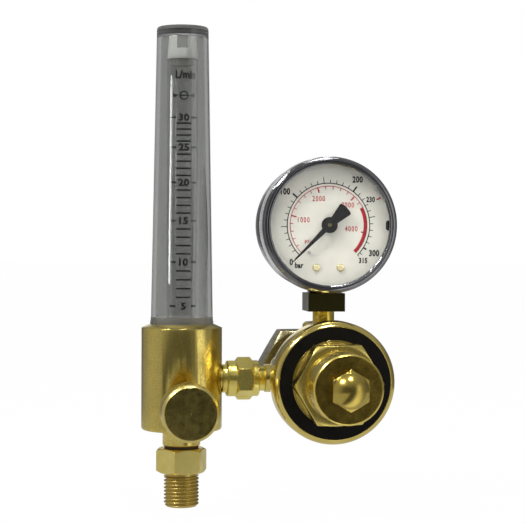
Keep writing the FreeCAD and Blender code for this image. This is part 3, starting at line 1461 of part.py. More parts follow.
def sector_phase(step):
    """Turn that sets a gap between two sector teeth at the top, where the pinion meshes."""
    pinion_step = 360 / int(number("pinion_teeth"))
    pinion_tooth_down = (270 / pinion_step) % 1
    sector_tooth_up = (90 / step) % 1
    want = (0.5 + pinion_tooth_down) % 1
    return (want - (1 - sector_tooth_up) % 1) * step


def plate_with_holes(name, half_width, back, holes):
    """One plate of the movement, with rounded corners and round holes."""
    corner = number("movement_corner")
    left = -number(half_width)
    low = -number("movement_foot")
    width = 2 * number(half_width)
    height = number("movement_foot + movement_top")
    thickness = number("plate_thickness")
    slab = Part.makeBox(width, height, thickness, V(left, low, number(back)))
    uprights = [edge for edge in slab.Edges if edge.BoundBox.ZLength > thickness * 0.9]
    slab = slab.makeFillet(corner, uprights)
    for x, y, radius in holes:
        drill = Part.makeCylinder(number(radius), thickness * 3, V(number(x), number(y), number(back) - thickness))
        slab = slab.cut(drill)
    return slab


def make_movement():
    """Two plates held apart by four pillars, and the screws that hold them to the socket."""
    running = "pivot_radius + running_gap"
    pivots = [("0", "0", running), ("0", "-sector_drop", running)]
    screws = [("-movement_screw_side", "-movement_screw_drop", "movement_screw_radius + running_gap"),
              ("movement_screw_side", "-movement_screw_drop", "movement_screw_radius + running_gap")]
    slab = plate_with_holes("back", "movement_half_width", "back_plate_back", pivots + screws)
    pillars = []
    pillar_length = number("front_plate_back - back_plate_front")
    for side in (-1, 1):
        for height in (number("pillar_top"), -number("pillar_foot")):
            spot = V(side * number("pillar_side"), height, number("back_plate_front"))
            pillars.append(Part.makeCylinder(number("pillar_radius"), pillar_length, spot))
    frame = slab.fuse(pillars).removeSplitter()
    feature_node("movement_frame", frame, GAUGE_AXIS, FACING_FRONT)
    front_pivots = [("0", "0", "pointer_shaft_radius + running_gap"), ("0", "-sector_drop", running)]
    dial_holes = [("-dial_screw_offset", "-dial_screw_drop", "dial_screw_radius + running_gap"),
                  ("dial_screw_offset", "-dial_screw_drop", "dial_screw_radius + running_gap")]
    slab = plate_with_holes("front", "front_half_width", "front_plate_back", front_pivots + dial_holes)
    feature_node("front_plate", slab, GAUGE_AXIS, FACING_FRONT)
    solids = []
    for side in (-1, 1):
        spot = V(side * number("movement_screw_side"), -number("movement_screw_drop"),
                 number("-socket_front - movement_screw_depth + 0.2"))
        shank = Part.makeCylinder(number("movement_screw_radius"),
                                  number("plate_thickness + movement_screw_depth - 0.2"), spot)
        head_spot = V(spot.x, spot.y, number("back_plate_front"))
        head = Part.makeCylinder(number("movement_screw_radius + 0.5"), 0.8, head_spot)
        solids.append(shank.fuse(head).removeSplitter())
    feature_node("movement_screws", Part.makeCompound(solids), GAUGE_AXIS, FACING_FRONT)


def arc_section(sketch, thickness, width):
    """Flat oval section of the Bourdon tube, set on its arc's radius."""
    half = f"({thickness}) / 2"
    side = f"(({width}) / 2 - {half})"
    draw_outline(sketch, [
        (f"tube_arc_radius - {half}", f"-{side}"),
        ("tube_arc_radius", f"-{side} - {half}", half),
        (f"tube_arc_radius + {half}", f"-{side}", half),
        (f"tube_arc_radius + {half}", side),
        ("tube_arc_radius", f"{side} + {half}", half),
        (f"tube_arc_radius - {half}", side, half),
    ])


def make_bourdon():
    """Flattened tube bent round the case, fixed in the socket's lug at its foot."""
    body = new_body("bourdon_tube", GAUGE_AXIS, FACING_FRONT)
    twist = Turn(V(0, 1, 0), number("tube_arc_start"))
    sketch = new_sketch(body, "XZ_Plane", twist=twist)
    arc_section(sketch, "tube_arc_thickness", "tube_arc_width")
    arc_section(sketch, "tube_arc_thickness - 2 * tube_arc_wall", "tube_arc_width - 2 * tube_arc_wall")
    turn_sketch(body, sketch, angle="tube_arc_sweep")
    tip = new_body("bourdon_tip", GAUGE_AXIS, FACING_FRONT)
    twist = Turn(V(0, 0, 1), number("tube_arc_start"))
    half = "tube_arc_thickness / 2"
    pad_up(tip, box_corners(f"tube_arc_radius - {half}", "-tip_length", f"tube_arc_radius + {half}", "0"),
           "-tube_arc_width / 2 + tube_arc_wall", "tip_front + tube_arc_width / 2 - tube_arc_wall", twist)
    return body


def make_link():
    """Link from the sector's tail pin to the tip of the tube."""
    arm = math.radians(-number("tail_arm_angle"))
    start = V(number("tail_arm_length") * math.cos(arm),
              number("tail_arm_length") * math.sin(arm) - number("sector_drop"), 0)
    tip_turn = Turn(V(0, 0, 1), number("tube_arc_start"))
    finish = tip_turn.multVec(V(number("tube_arc_radius"), -number("tip_pin_offset"), 0))
    along = finish - start
    half = number("link_half_width")
    thick = number("link_thickness")
    bearing = Turn(V(0, 0, 1), math.degrees(math.atan2(along.y, along.x)))
    low = number("link_back")
    bar = Part.makeBox(along.Length, 2 * half, thick, V(0, -half, 0))
    bar.Placement = FreeCAD.Placement(V(start.x, start.y, low), bearing)
    near = Part.makeCylinder(half, thick, V(start.x, start.y, low))
    far = Part.makeCylinder(half, thick, V(finish.x, finish.y, low))
    rivet_foot = number("tip_front + thread_gap")
    rivet = Part.makeCylinder(number("tail_pin_radius"), low - rivet_foot, V(finish.x, finish.y, rivet_foot))
    bar = bar.fuse([near, far, rivet])
    eye = Part.makeCylinder(number("tail_pin_radius + running_gap"), thick * 3, V(start.x, start.y, low - thick))
    bar = bar.cut(eye).removeSplitter()
    return feature_node("movement_link", bar, GAUGE_AXIS, FACING_FRONT)


def make_gauge():
    """Every piece of the gauge."""
    seal_spot = ("0", "plane_back", "gauge_rise + gauge_port_floor")
    ring("gauge_seal", "stem_bore_radius + 0.5", "gauge_thread_radius - 0.2", "0", "gauge_seal_height",
         seal_spot, UPRIGHT)
    make_case()
    make_bezel()
    make_window()
    make_dial()
    make_dial_screws()
    turned("stop_pin", [
        ("0", "dial_back"),
        ("stop_pin_radius", "dial_back"),
        ("stop_pin_radius", "pointer_front + stop_pin_proud"),
        ("0", "pointer_front + stop_pin_proud"),
    ], ("-stop_pin_left", "plane_back", "gauge_rise - stop_pin_drop"), FACING_FRONT)
    make_socket()
    make_bourdon()
    make_movement()
    make_pinion()
    make_sector()
    make_link()
    make_pointer()


make_flow_meter()
make_regulator()
make_gauge()
doc.recompute()

# Every object must be sound before anything is written.
for item in doc.Objects:
    if "Invalid" in item.State or "Error" in item.State:
        raise ValueError(f"{item.Name} did not recompute: {item.State}")
for node in nodes:
    if node.Shape.isNull() or not node.Shape.isValid():
        raise ValueError(f"{node.Label} has no sound shape")

os.makedirs("parts", exist_ok=True)
for node in nodes:
    node.Shape.exportStep(f"parts/{node.Label}.step")
    print(f"{node.Label}: {len(node.Shape.Solids)} solid, {node.Shape.Volume:.1f} mm3")
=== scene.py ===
# %% [markdown]
# # A gas regulator with a flow tube
#
# The real object is a small brass regulator for a gas cylinder. A round gauge stands on
# it, and a union joins it to a flow meter: a clear tapered cover over a printed tube
# with a steel ball. The solids come from the frame, so this lesson only dresses them:
# finishes, printed scales, a screw thread, light and camera.

# %% Load the frame
import bpy
import bmesh
import math
from mathutils import Matrix, Vector


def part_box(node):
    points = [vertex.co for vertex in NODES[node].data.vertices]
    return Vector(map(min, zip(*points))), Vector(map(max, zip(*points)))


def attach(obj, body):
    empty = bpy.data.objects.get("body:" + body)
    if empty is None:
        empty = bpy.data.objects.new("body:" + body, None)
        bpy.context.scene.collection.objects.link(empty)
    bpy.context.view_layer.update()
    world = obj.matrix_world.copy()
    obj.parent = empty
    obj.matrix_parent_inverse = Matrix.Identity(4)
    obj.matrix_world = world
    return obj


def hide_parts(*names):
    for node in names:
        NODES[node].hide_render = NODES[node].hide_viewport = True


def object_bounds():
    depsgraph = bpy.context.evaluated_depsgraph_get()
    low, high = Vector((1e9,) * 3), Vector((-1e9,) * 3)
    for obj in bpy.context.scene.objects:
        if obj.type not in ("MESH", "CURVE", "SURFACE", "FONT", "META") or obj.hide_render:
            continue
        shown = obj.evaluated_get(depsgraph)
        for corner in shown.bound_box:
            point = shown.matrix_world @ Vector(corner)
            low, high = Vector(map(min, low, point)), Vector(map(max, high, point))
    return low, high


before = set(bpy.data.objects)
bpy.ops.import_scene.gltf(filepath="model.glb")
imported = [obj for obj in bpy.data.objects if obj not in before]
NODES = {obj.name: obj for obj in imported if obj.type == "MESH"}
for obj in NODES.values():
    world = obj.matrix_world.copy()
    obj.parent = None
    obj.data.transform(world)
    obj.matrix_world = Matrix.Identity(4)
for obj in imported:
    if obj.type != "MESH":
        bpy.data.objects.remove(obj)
CAD_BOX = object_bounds()
MM = 0.001

# %% [markdown]
# Places that the dressing shares with the solids are read from the solids' own boxes, so
# that the print and the thread sit on the pieces that carry them.

# %% Places taken from the solids


def middle(node):
    """Middle of a solid's box."""
    low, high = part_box(node)
    return (low + high) / 2


FLOW = middle("metering_tube")
FLOW_X, FLOW_Y = FLOW.x, FLOW.y
TUBE_R = (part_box("metering_tube")[1].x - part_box("metering_tube")[0].x) / 2
DIAL = middle("dial")
DIAL_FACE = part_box("dial")[0].y
print("flow axis", round(FLOW_X, 4), round(FLOW_Y, 4), "tube radius", round(TUBE_R, 5))
print("dial centre", round(DIAL.x, 4), round(DIAL.z, 4), "face", round(DIAL_FACE, 5))

# %% [markdown]
# Colours in the shaders are linear light. Reading a colour off a photograph gives the
# screen's coding of it, so one helper turns the screen value into the linear one.

# %% Screen colour to linear colour


def screen(red, green, blue):
    """A colour as a screen shows it, from 0 to 255, as linear light with alpha."""
    def channel(value):
        share = value / 255
        if share <= 0.04045:
            return share / 12.92
        return ((share + 0.055) / 1.055) ** 2.4
    return (channel(red), channel(green), channel(blue), 1.0)


print("mid brass in linear light:", [round(c, 3) for c in screen(200, 170, 105)])

# %% [markdown]
# Shader nodes are placed by short helpers: one adds a node with its values, one adds a
# group, one does arithmetic, and one gives the place on a solid. They keep each
# material's cell down to what is special in it.

# %% Helpers for shader nodes


def add(tree, kind, values=None, **settings):
    """Adds a node, sets its properties, and fills or links its inputs."""
    node = tree.nodes.new(kind)
    for key, value in settings.items():
        setattr(node, key, value)
    for key, value in (values or {}).items():
        if isinstance(value, bpy.types.NodeSocket):
            tree.links.new(value, node.inputs[key])
        else:
            node.inputs[key].default_value = value
    return node


def new_group(name, inputs, outputs):
    """An empty shader group with named sockets."""
    tree = bpy.data.node_groups.new(name, "ShaderNodeTree")
    for label, kind, value in inputs:
        socket = tree.interface.new_socket(label, in_out="INPUT", socket_type=kind)
        socket.default_value = value
    for label, kind in outputs:
        tree.interface.new_socket(label, in_out="OUTPUT", socket_type=kind)
    return tree, tree.nodes.new("NodeGroupInput"), tree.nodes.new("NodeGroupOutput")


def use_group(tree, group, values=None):
    """Places a group in a material and sets its inputs."""
    return add(tree, "ShaderNodeGroup", values, node_tree=group)


def maths(tree, operation, first, second, **settings):
    """One step of arithmetic with two numbers or sockets."""
    return add(tree, "ShaderNodeMath", {0: first, 1: second}, operation=operation, **settings).outputs[0]


def place_along(tree, axis):
    """The place on a solid along one axis, 0 for x, 1 for y and 2 for z, in metres."""
    place = add(tree, "ShaderNodeTexCoord").outputs["Object"]
    return add(tree, "ShaderNodeSeparateXYZ", {0: place}).outputs[axis]


FLOAT, VECTOR, COLOUR = "NodeSocketFloat", "NodeSocketVector", "NodeSocketColor"

# %% [markdown]
# Turned metal carries fine rings from the lathe tool. The rings follow the distance along
# the axis on the sides and the distance from it on the faces, so one number, their sum,
# drives a one-dimensional noise. The group takes the part's axis as an origin and a turn.

# %% Group: rings left by the lathe
STREAK_PACE = 0.13


def make_turning_marks():
    """Ring height, and streaks that change more slowly than the rings."""
    tree, source, sink = new_group(
        "Turning marks",
        [("Origin", VECTOR, (0, 0, 0)), ("Turn", VECTOR, (0, 0, 0)), ("Spacing", FLOAT, 0.0002)],
        [("Height", FLOAT), ("Streaks", FLOAT)])
    place = add(tree, "ShaderNodeTexCoord")
    shifted = add(tree, "ShaderNodeVectorMath", {0: place.outputs["Object"], 1: source.outputs["Origin"]},
                  operation="SUBTRACT")
    turned = add(tree, "ShaderNodeVectorRotate",
                 {"Vector": shifted.outputs[0], "Rotation": source.outputs["Turn"]},
                 rotation_type="EULER_XYZ")
    parts = add(tree, "ShaderNodeSeparateXYZ", {0: turned.outputs[0]})
    flat = add(tree, "ShaderNodeCombineXYZ", {0: parts.outputs[0], 1: parts.outputs[1]})
    radius = add(tree, "ShaderNodeVectorMath", {0: flat.outputs[0]}, operation="LENGTH")
    run = maths(tree, "ADD", parts.outputs[2], radius.outputs["Value"])
    count = maths(tree, "DIVIDE", run, source.outputs["Spacing"])
    fine = add(tree, "ShaderNodeTexNoise", {"W": count, "Scale": 1.0, "Detail": 3.0},
               noise_dimensions="1D")
    slow = maths(tree, "MULTIPLY", count, STREAK_PACE)
    broad = add(tree, "ShaderNodeTexNoise", {"W": slow, "Scale": 1.0, "Detail": 2.0},
                noise_dimensions="1D")
    tree.links.new(fine.outputs[0], sink.inputs["Height"])
    tree.links.new(broad.outputs[0], sink.inputs["Streaks"])
    return tree


TURNING = make_turning_marks()
print("group:", TURNING.name)

# %% [markdown]
# Handled metal is never even. A slow noise gives the patches where fingers and air have
# dulled it, and a fine one gives the grain. Both come out as values between 0 and 1, and
# each material decides how far they move its colour and roughness.

# %% Group: dull patches and grain
NOISE_LOW, NOISE_HIGH = 0.3, 0.7


def make_patches():
    """A slow noise and a fine one, each spread to run from 0 to 1."""
    tree, source, sink = new_group(
        "Dull patches",
        [("Patch size", FLOAT, 0.006), ("Grain size", FLOAT, 0.0003)],
        [("Patches", FLOAT), ("Grain", FLOAT)])
    place = add(tree, "ShaderNodeTexCoord")
    for label, width, detail in (("Patches", "Patch size", 4.0), ("Grain", "Grain size", 2.0)):
        scale = maths(tree, "DIVIDE", 1.0, source.outputs[width])
        noise = add(tree, "ShaderNodeTexNoise",
                    {"Vector": place.outputs["Object"], "Scale": scale, "Detail": detail})
        spread = add(tree, "ShaderNodeMapRange",
                     {"Value": noise.outputs[0], "From Min": NOISE_LOW, "From Max": NOISE_HIGH})
        tree.links.new(spread.outputs[0], sink.inputs[label])
    return tree


PATCHES = make_patches()
print("group:", PATCHES.name)

# %% [markdown]
# Edges wear bright. The same edge mask also carries painted light: the gauge bezel's edges take a painted
# highlight and the dial screws' edges take painted shade. The bevel node returns the normal that a slightly
# rounded edge would have. Where it differs from the true normal there is an edge, and the difference is the
# mask.

# %% Group: edge mask, for worn edges and painted light
FLAT_LIKENESS, EDGE_LIKENESS = 0.995, 0.8


def make_edges():
    """A mask of the edges, and the normal that rounds them."""
    tree, source, sink = new_group(
        "Worn_and_painted_light edges",
        [("Width", FLOAT, 0.0003)],
        [("Mask", FLOAT), ("Normal", VECTOR)])
    soft = add(tree, "ShaderNodeBevel", {"Radius": source.outputs["Width"]}, samples=6)
    true = add(tree, "ShaderNodeNewGeometry")
    likeness = add(tree, "ShaderNodeVectorMath", {0: soft.outputs[0], 1: true.outputs["Normal"]},
                   operation="DOT_PRODUCT")
    mask = add(tree, "ShaderNodeMapRange",
               {"Value": likeness.outputs["Value"], "From Min": FLAT_LIKENESS,
                "From Max": EDGE_LIKENESS})
    tree.links.new(mask.outputs[0], sink.inputs["Mask"])
    tree.links.new(soft.outputs[0], sink.inputs["Normal"])
    return tree


EDGES = make_edges()
print("group:", EDGES.name)

# %% [markdown]
# One recipe makes every metal. Base colour mixes a clean and a dull tone by the patches, takes dark specks
# from the grain and takes another colour on the edges: brighter wear on most metals, a painted highlight on
# the gauge bezel and painted shade on the dial screws. Roughness moves with the patches and the grain. The
# lathe rings feed a bump. A piece may have another colour below a height, where its lower part was finished
# in another way.

# %% Recipe for metals
FRONTWARDS = (math.radians(90), 0, 0)
SIDEWAYS = (0, math.radians(-90), 0)
UPWARDS = (0, 0, 0)
SPECK_TONE = screen(120, 104, 52)
STREAK_SHARE = 0.22
EDGE_WEAR_AND_LIGHT_SHARE = 0.6
GRAIN_JITTER = 0.025


def mix_colour(tree, share, first, second):
    """Mixes two colours by a mask."""
    return add(tree, "ShaderNodeMix", {0: share, 6: first, 7: second}, data_type="RGBA").outputs[2]


def remap(tree, value, low, high):
    """Spreads a 0 to 1 value between two limits."""
    node = add(tree, "ShaderNodeMapRange", {"Value": value, "To Min": low, "To Max": high})
    return node.outputs[0]


def make_metal(name, clean, dull, rough, origin=(0, 0, 0), turn=UPWARDS, rings=0.25, spacing=0.00018,
               bright=None, patch=0.006, edge=0.00025, depth=0.00004, speckle=0.0, grain=0.0003, below=None):
    """A metal with lathe rings, dull patches, specks, worn edges and another colour below a height; on the
    bezel the edge colour is a painted highlight and on the dial screws painted shade.
    """
    material = bpy.data.materials.new(name)
    material.use_nodes = True
    tree = material.node_tree
    shader = tree.nodes["Principled BSDF"]
    shader.inputs["Metallic"].default_value = 1.0
    marks = use_group(tree, TURNING, {"Origin": origin, "Turn": turn, "Spacing": spacing})
    patches = use_group(tree, PATCHES, {"Patch size": patch, "Grain size": grain})
    edges = use_group(tree, EDGES, {"Width": edge})
    tone = mix_colour(tree, patches.outputs["Patches"], clean, dull)
    streaked = mix_colour(tree, remap(tree, marks.outputs["Streaks"], 0.0, STREAK_SHARE), tone, dull)
    specks = mix_colour(tree, remap(tree, patches.outputs["Grain"], 0.0, speckle), streaked, SPECK_TONE)
    # Edge colour: wear on most metals, a painted highlight on the bezel and painted shade on the dial screws.
    edge_wear_and_light_share = remap(tree, edges.outputs["Mask"], 0.0, EDGE_WEAR_AND_LIGHT_SHARE)
    edge_wear_and_light_tone = mix_colour(tree, edge_wear_and_light_share, specks, bright or clean)
    if below:
        height, other = below
        upper = maths(tree, "GREATER_THAN", place_along(tree, 2), height)
        edge_wear_and_light_tone = mix_colour(tree, upper, other, edge_wear_and_light_tone)
    tree.links.new(edge_wear_and_light_tone, shader.inputs["Base Color"])
    low, high = rough
    spread = remap(tree, patches.outputs["Patches"], low, high)
    jitter = remap(tree, patches.outputs["Grain"], -GRAIN_JITTER, GRAIN_JITTER)
    total = maths(tree, "ADD", spread, jitter, use_clamp=True)
    tree.links.new(total, shader.inputs["Roughness"])
    bump = add(tree, "ShaderNodeBump", {"Strength": rings, "Distance": depth,
                                        "Height": marks.outputs["Height"], "Normal": edges.outputs["Normal"]})
    tree.links.new(bump.outputs[0], shader.inputs["Normal"])
    return material


def dress(material, *names):
    """Gives a material to solids, in all their slots."""
    for name in names:
        mesh = NODES[name].data
        mesh.materials.clear()
        mesh.materials.append(material)


# %% [markdown]
# The flow meter's body is satin turned brass with a greenish cast. Its knob is darker and more mottled, and
# the outlet below it is paler, with a duller shaft under its hexagon. The knob's flat front carries painted
# shade: a polished face would mirror the dim room that stands before it, so a test of depth finds that face
# and darkens its colour in mottled tones.

# %% Brass of the flow meter
FACE_DEPTH = 0.00015
MOTTLE_SIZE = 0.0022
HEX_FOOT = -0.0353


def add_dark_face(material, front, light, dark):
    """Paints shade on all of a metal that lies in front of a depth, darkening it in mottled tones."""
    tree = material.node_tree
    shader = tree.nodes["Principled BSDF"]
    behind = shader.inputs["Base Color"].links[0].from_socket
    face = maths(tree, "LESS_THAN", place_along(tree, 1), front)
    mottle = use_group(tree, PATCHES, {"Patch size": MOTTLE_SIZE})
    tones = mix_colour(tree, mottle.outputs["Patches"], light, dark)
    tree.links.new(mix_colour(tree, face, behind, tones), shader.inputs["Base Color"])


FLOW_ORIGIN = (FLOW_X, FLOW_Y, 0)
BODY_BRASS = make_metal("body brass", screen(240, 217, 122), screen(224, 202, 112), (0.18, 0.27),
                        FLOW_ORIGIN, UPWARDS, 0.35, speckle=0.3, grain=0.0006)
KNOB_BRASS = make_metal("knob brass", screen(236, 218, 138), screen(214, 194, 112), (0.24, 0.36),
                        tuple(middle("flow_knob")), FRONTWARDS, 0.4,
                        bright=screen(250, 238, 180), patch=0.0016)
# Painted shade: the knob's flat front is darkened to stand for the dim room that it mirrors.
add_dark_face(KNOB_BRASS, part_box("flow_knob")[0].y + FACE_DEPTH,
              screen(158, 143, 78), screen(116, 104, 54))
OUTLET_BRASS = make_metal("outlet brass", screen(250, 232, 146), screen(230, 210, 122), (0.28, 0.42),
                          FLOW_ORIGIN, UPWARDS, 0.3, below=(HEX_FOOT, screen(206, 184, 108)))
GLAND_BRASS = make_metal("gland brass", screen(224, 200, 112), screen(196, 174, 92), (0.2, 0.32),
                         tuple(middle("flow_knob")), FRONTWARDS, 0.3)
dress(BODY_BRASS, "flow_body")
dress(KNOB_BRASS, "flow_knob")
dress(GLAND_BRASS, "valve_gland")
print("flow meter brass dressed")

# %% [markdown]
# The regulator's cup and bonnet are polished brass, brighter and yellower than the flow body. The bonnet's
# foremost face is a dark disc of painted shade, made as the knob's front was. The cap nut is darker, the
# union paler, and the inlet greyer, because it is left as machined.

# %% Brass of the regulator
REG = (0.0, FLOW_Y, 0.0)
CUP_BRASS = make_metal("cup brass", screen(236, 216, 130), screen(222, 200, 112), (0.1, 0.18),
                       REG, FRONTWARDS, 0.2)
BONNET_BRASS = make_metal("bonnet brass", screen(246, 224, 126), screen(228, 204, 108), (0.2, 0.3),
                          REG, FRONTWARDS, 0.3)
# Painted shade: the bonnet's front disc is darkened to stand for the dim room that it mirrors.
add_dark_face(BONNET_BRASS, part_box("bonnet")[0].y + FACE_DEPTH,
              screen(196, 168, 76), screen(150, 126, 54))
CAP_BRASS = make_metal("cap brass", screen(202, 180, 90), screen(180, 158, 78), (0.2, 0.28),
                       REG, FRONTWARDS, 0.3)
UNION_BRASS = make_metal("union brass", screen(255, 238, 138), screen(238, 218, 116), (0.22, 0.34),
                         FLOW_ORIGIN, SIDEWAYS, 0.3)
INLET_BRASS = make_metal("inlet brass", screen(172, 162, 122), screen(146, 136, 100), (0.22, 0.34),
                         REG, FRONTWARDS, 0.3)
INNER_BRASS = make_metal("inner brass", screen(230, 204, 110), screen(206, 180, 94), (0.2, 0.32),
                         REG, FRONTWARDS, 0.2)
dress(CUP_BRASS, "regulator_body")
dress(BONNET_BRASS, "bonnet")
dress(CAP_BRASS, "cap_nut")
dress(UNION_BRASS, "union_stem", "union_nut", "union_tail")
dress(INLET_BRASS, "inlet_nipple", "inlet_nut")
dress(INNER_BRASS, "slip_washer", "diaphragm_plate", "diaphragm_nut", "valve_seat", "valve_poppet",
      "bourdon_tip", "movement_frame", "front_plate", "sector_gear")
print("regulator brass dressed")

# %% [markdown]
# The gauge has a chromed bezel, a dark case, a bronze tube inside and bright steel in its small pieces. Wide,
# strong rings ripple the bezel's mirror, as its rolled grooves do, and the bezel's edges carry a painted
# highlight in near white. The stem's block is dark, and its neck below is bare brass. The dial's screws are
# pale brass with painted shade on their edges: a dark rim that stands for the shade round each dome.

# %% Metals of the gauge and the small pieces
GAUGE = (DIAL.x, FLOW_Y, DIAL.z)
BLOCK_FOOT = 0.0254
# Painted highlight: the bezel's edges are coloured near white.
CHROME = make_metal("bezel chrome", screen(150, 150, 153), screen(134, 134, 137), (0.05, 0.09),
                    GAUGE, FRONTWARDS, 1.0, spacing=0.0009, bright=screen(252, 252, 254), edge=0.0004,
                    depth=0.0003)
CASE_PLATING = make_metal("case plating", screen(126, 126, 129), screen(108, 108, 111), (0.2, 0.3),
                          GAUGE, FRONTWARDS, 0.1)
STEM_METAL = make_metal("stem metal", screen(112, 104, 60), screen(94, 88, 50), (0.16, 0.26),
                        GAUGE, UPWARDS, 0.25, below=(BLOCK_FOOT, screen(214, 184, 80)))
# Painted shade: the screws' edges are coloured dark, for the shade round each dome.
SCREW_BRASS = make_metal("dial screw brass", screen(246, 236, 190), screen(228, 214, 158), (0.12, 0.2),
                         GAUGE, FRONTWARDS, 0.2, bright=screen(84, 74, 38), edge=0.0008)
BRONZE = make_metal("tube bronze", screen(186, 142, 92), screen(150, 108, 66), (0.2, 0.32),
                    GAUGE, FRONTWARDS, 0.1)
STEEL = make_metal("bright steel", screen(200, 201, 204), screen(168, 169, 172), (0.12, 0.24),
                   GAUGE, FRONTWARDS, 0.1)
SPRING_STEEL = make_metal("spring steel", screen(140, 141, 146), screen(108, 109, 114), (0.25, 0.38),
                          REG, FRONTWARDS, 0.1)
dress(CHROME, "gauge_bezel")
dress(SCREW_BRASS, "dial_screws")
dress(CASE_PLATING, "gauge_case")
dress(STEM_METAL, "gauge_stem")
dress(BRONZE, "bourdon_tube", "inlet_filter")
dress(STEEL, "float_ball", "needle_spindle", "spring_button", "adjusting_screw", "stop_pin",
      "movement_screws", "movement_link")
dress(STEM_METAL, "pointer_shaft")
dress(SPRING_STEEL, "range_spring", "valve_spring", "knob_screw")
print("gauge metals dressed")

# %% [markdown]
# Plastics, rubber and print share a simpler recipe: a colour that drifts a little, a
# roughness that drifts with it and a fine bump for the moulded skin.

# %% Recipe for plastics, rubber and print
MOULD_DEPTH = 0.00003


def make_plain(name, light, dark, rough, bump_height=0.15, patch=0.004, shine=0.5):
    """A surface that isn't metal, with drifting colour and a fine skin."""
    material = bpy.data.materials.new(name)
    material.use_nodes = True
    tree = material.node_tree
    shader = tree.nodes["Principled BSDF"]
    shader.inputs["Specular IOR Level"].default_value = shine
    patches = use_group(tree, PATCHES, {"Patch size": patch})
    tree.links.new(mix_colour(tree, patches.outputs["Patches"], light, dark), shader.inputs["Base Color"])
    tree.links.new(remap(tree, patches.outputs["Patches"], *rough), shader.inputs["Roughness"])
    bump = add(tree, "ShaderNodeBump", {"Strength": bump_height, "Distance": MOULD_DEPTH,
                                        "Height": patches.outputs["Grain"]})
    tree.links.new(bump.outputs[0], shader.inputs["Normal"])
    return material


PLUG_PLASTIC = make_plain("plug plastic", screen(250, 250, 248), screen(242, 242, 240), (0.35, 0.5))
RUBBER = make_plain("black rubber", screen(34, 34, 35), screen(26, 26, 27), (0.6, 0.75), 0.4)
FIBRE = make_plain("pressed fibre", screen(74, 56, 44), screen(60, 46, 36), (0.6, 0.8), 0.5)
PALE_SILICONE = make_plain("pale silicone", screen(240, 240, 236), screen(230, 230, 226), (0.35, 0.45))
NYLON = make_plain("nylon", screen(224, 220, 204), screen(212, 207, 190), (0.4, 0.55))
DIAL_ENAMEL = make_plain("dial enamel", screen(230, 228, 217), screen(224, 222, 210), (0.5, 0.6), 0.1,
                         shine=0.08)
BLACK_PRINT = make_plain("black print", screen(10, 10, 10), screen(14, 14, 14), (0.6, 0.7), shine=0.02)
RED_PRINT = make_plain("red print", screen(190, 22, 38), screen(178, 18, 34), (0.6, 0.7), shine=0.05)
LABEL_BLACK = make_plain("label black", screen(9, 9, 8), screen(14, 13, 11), (0.5, 0.6), 0.2, shine=0.12)
POINTER_BLACK = make_plain("pointer black", screen(8, 8, 8), screen(12, 12, 12), (0.6, 0.7), shine=0.03)
dress(PLUG_PLASTIC, "top_plug")
dress(RUBBER, "stem_seal", "diaphragm")
dress(PALE_SILICONE, "cover_gasket", "tube_gasket")
dress(FIBRE, "adapter_washer", "union_seal")
dress(NYLON, "inlet_washer", "gauge_seal")
dress(DIAL_ENAMEL, "dial")
dress(LABEL_BLACK, "label_ring")
dress(POINTER_BLACK, "pointer")
print("plastics, rubber and print dressed")

# %% [markdown]
# The cover, the tube and the window are clear. Glass keeps plain values for metal and
# transmission, and only its colour, roughness and a faint ripple change over the surface.
# A ray on its way to a lamp passes straight through, so that what stands inside is lit.
# The cover is slightly smoked: a Volume Absorption dims what is seen through much of it,
# so its sides look darker than its middle. Its foot and its roof are frosted, because
# clear thick ends would bend the view into black bands.

# %% Recipe for clear pieces
CLEAR_PATCH = 0.012
RIPPLE_DEPTH = 0.0001
FROST, FROST_TINT = 0.62, screen(244, 244, 242)
PASSING_TINT = screen(240, 240, 238)
COVER_FOOT, COVER_ROOF = 0.0233, 0.1302


def make_clear(name, tint, shade, rough, index, ripple=0.05, smoke=0.0, frosted=None):
    """Clear plastic with a faint ripple, smoke that dims each metre inside it, and frosted ends."""
    material = bpy.data.materials.new(name)
    material.use_nodes = True
    tree = material.node_tree
    shader = tree.nodes["Principled BSDF"]
    shader.inputs["Metallic"].default_value = 0.0
    shader.inputs["Transmission Weight"].default_value = 1.0
    shader.inputs["IOR"].default_value = index
    patches = use_group(tree, PATCHES, {"Patch size": CLEAR_PATCH})
    colour = mix_colour(tree, patches.outputs["Patches"], tint, shade)
    roughness = remap(tree, patches.outputs["Patches"], *rough)
    if frosted:
        low, high = frosted
        rise = place_along(tree, 2)
        foot = maths(tree, "LESS_THAN", rise, low)
        roof = maths(tree, "GREATER_THAN", rise, high)
        ends = maths(tree, "MAXIMUM", foot, roof)
        roughness = add(tree, "ShaderNodeMix", {0: ends, 2: roughness, 3: FROST}).outputs[0]
        colour = mix_colour(tree, ends, colour, FROST_TINT)
    tree.links.new(colour, shader.inputs["Base Color"])
    tree.links.new(roughness, shader.inputs["Roughness"])
    bump = add(tree, "ShaderNodeBump", {"Strength": ripple, "Distance": RIPPLE_DEPTH,
                                        "Height": patches.outputs["Patches"]})
    tree.links.new(bump.outputs[0], shader.inputs["Normal"])
    rays = add(tree, "ShaderNodeLightPath")
    passing = add(tree, "ShaderNodeBsdfTransparent", {"Color": PASSING_TINT})
    both = add(tree, "ShaderNodeMixShader",
               {0: rays.outputs["Is Shadow Ray"], 1: shader.outputs[0], 2: passing.outputs[0]})
    tree.links.new(both.outputs[0], tree.nodes["Material Output"].inputs["Surface"])
    if smoke:
        haze = add(tree, "ShaderNodeVolumeAbsorption", {"Color": (0.0, 0.0, 0.0, 1.0), "Density": smoke})
        tree.links.new(haze.outputs[0], tree.nodes["Material Output"].inputs["Volume"])
    return material


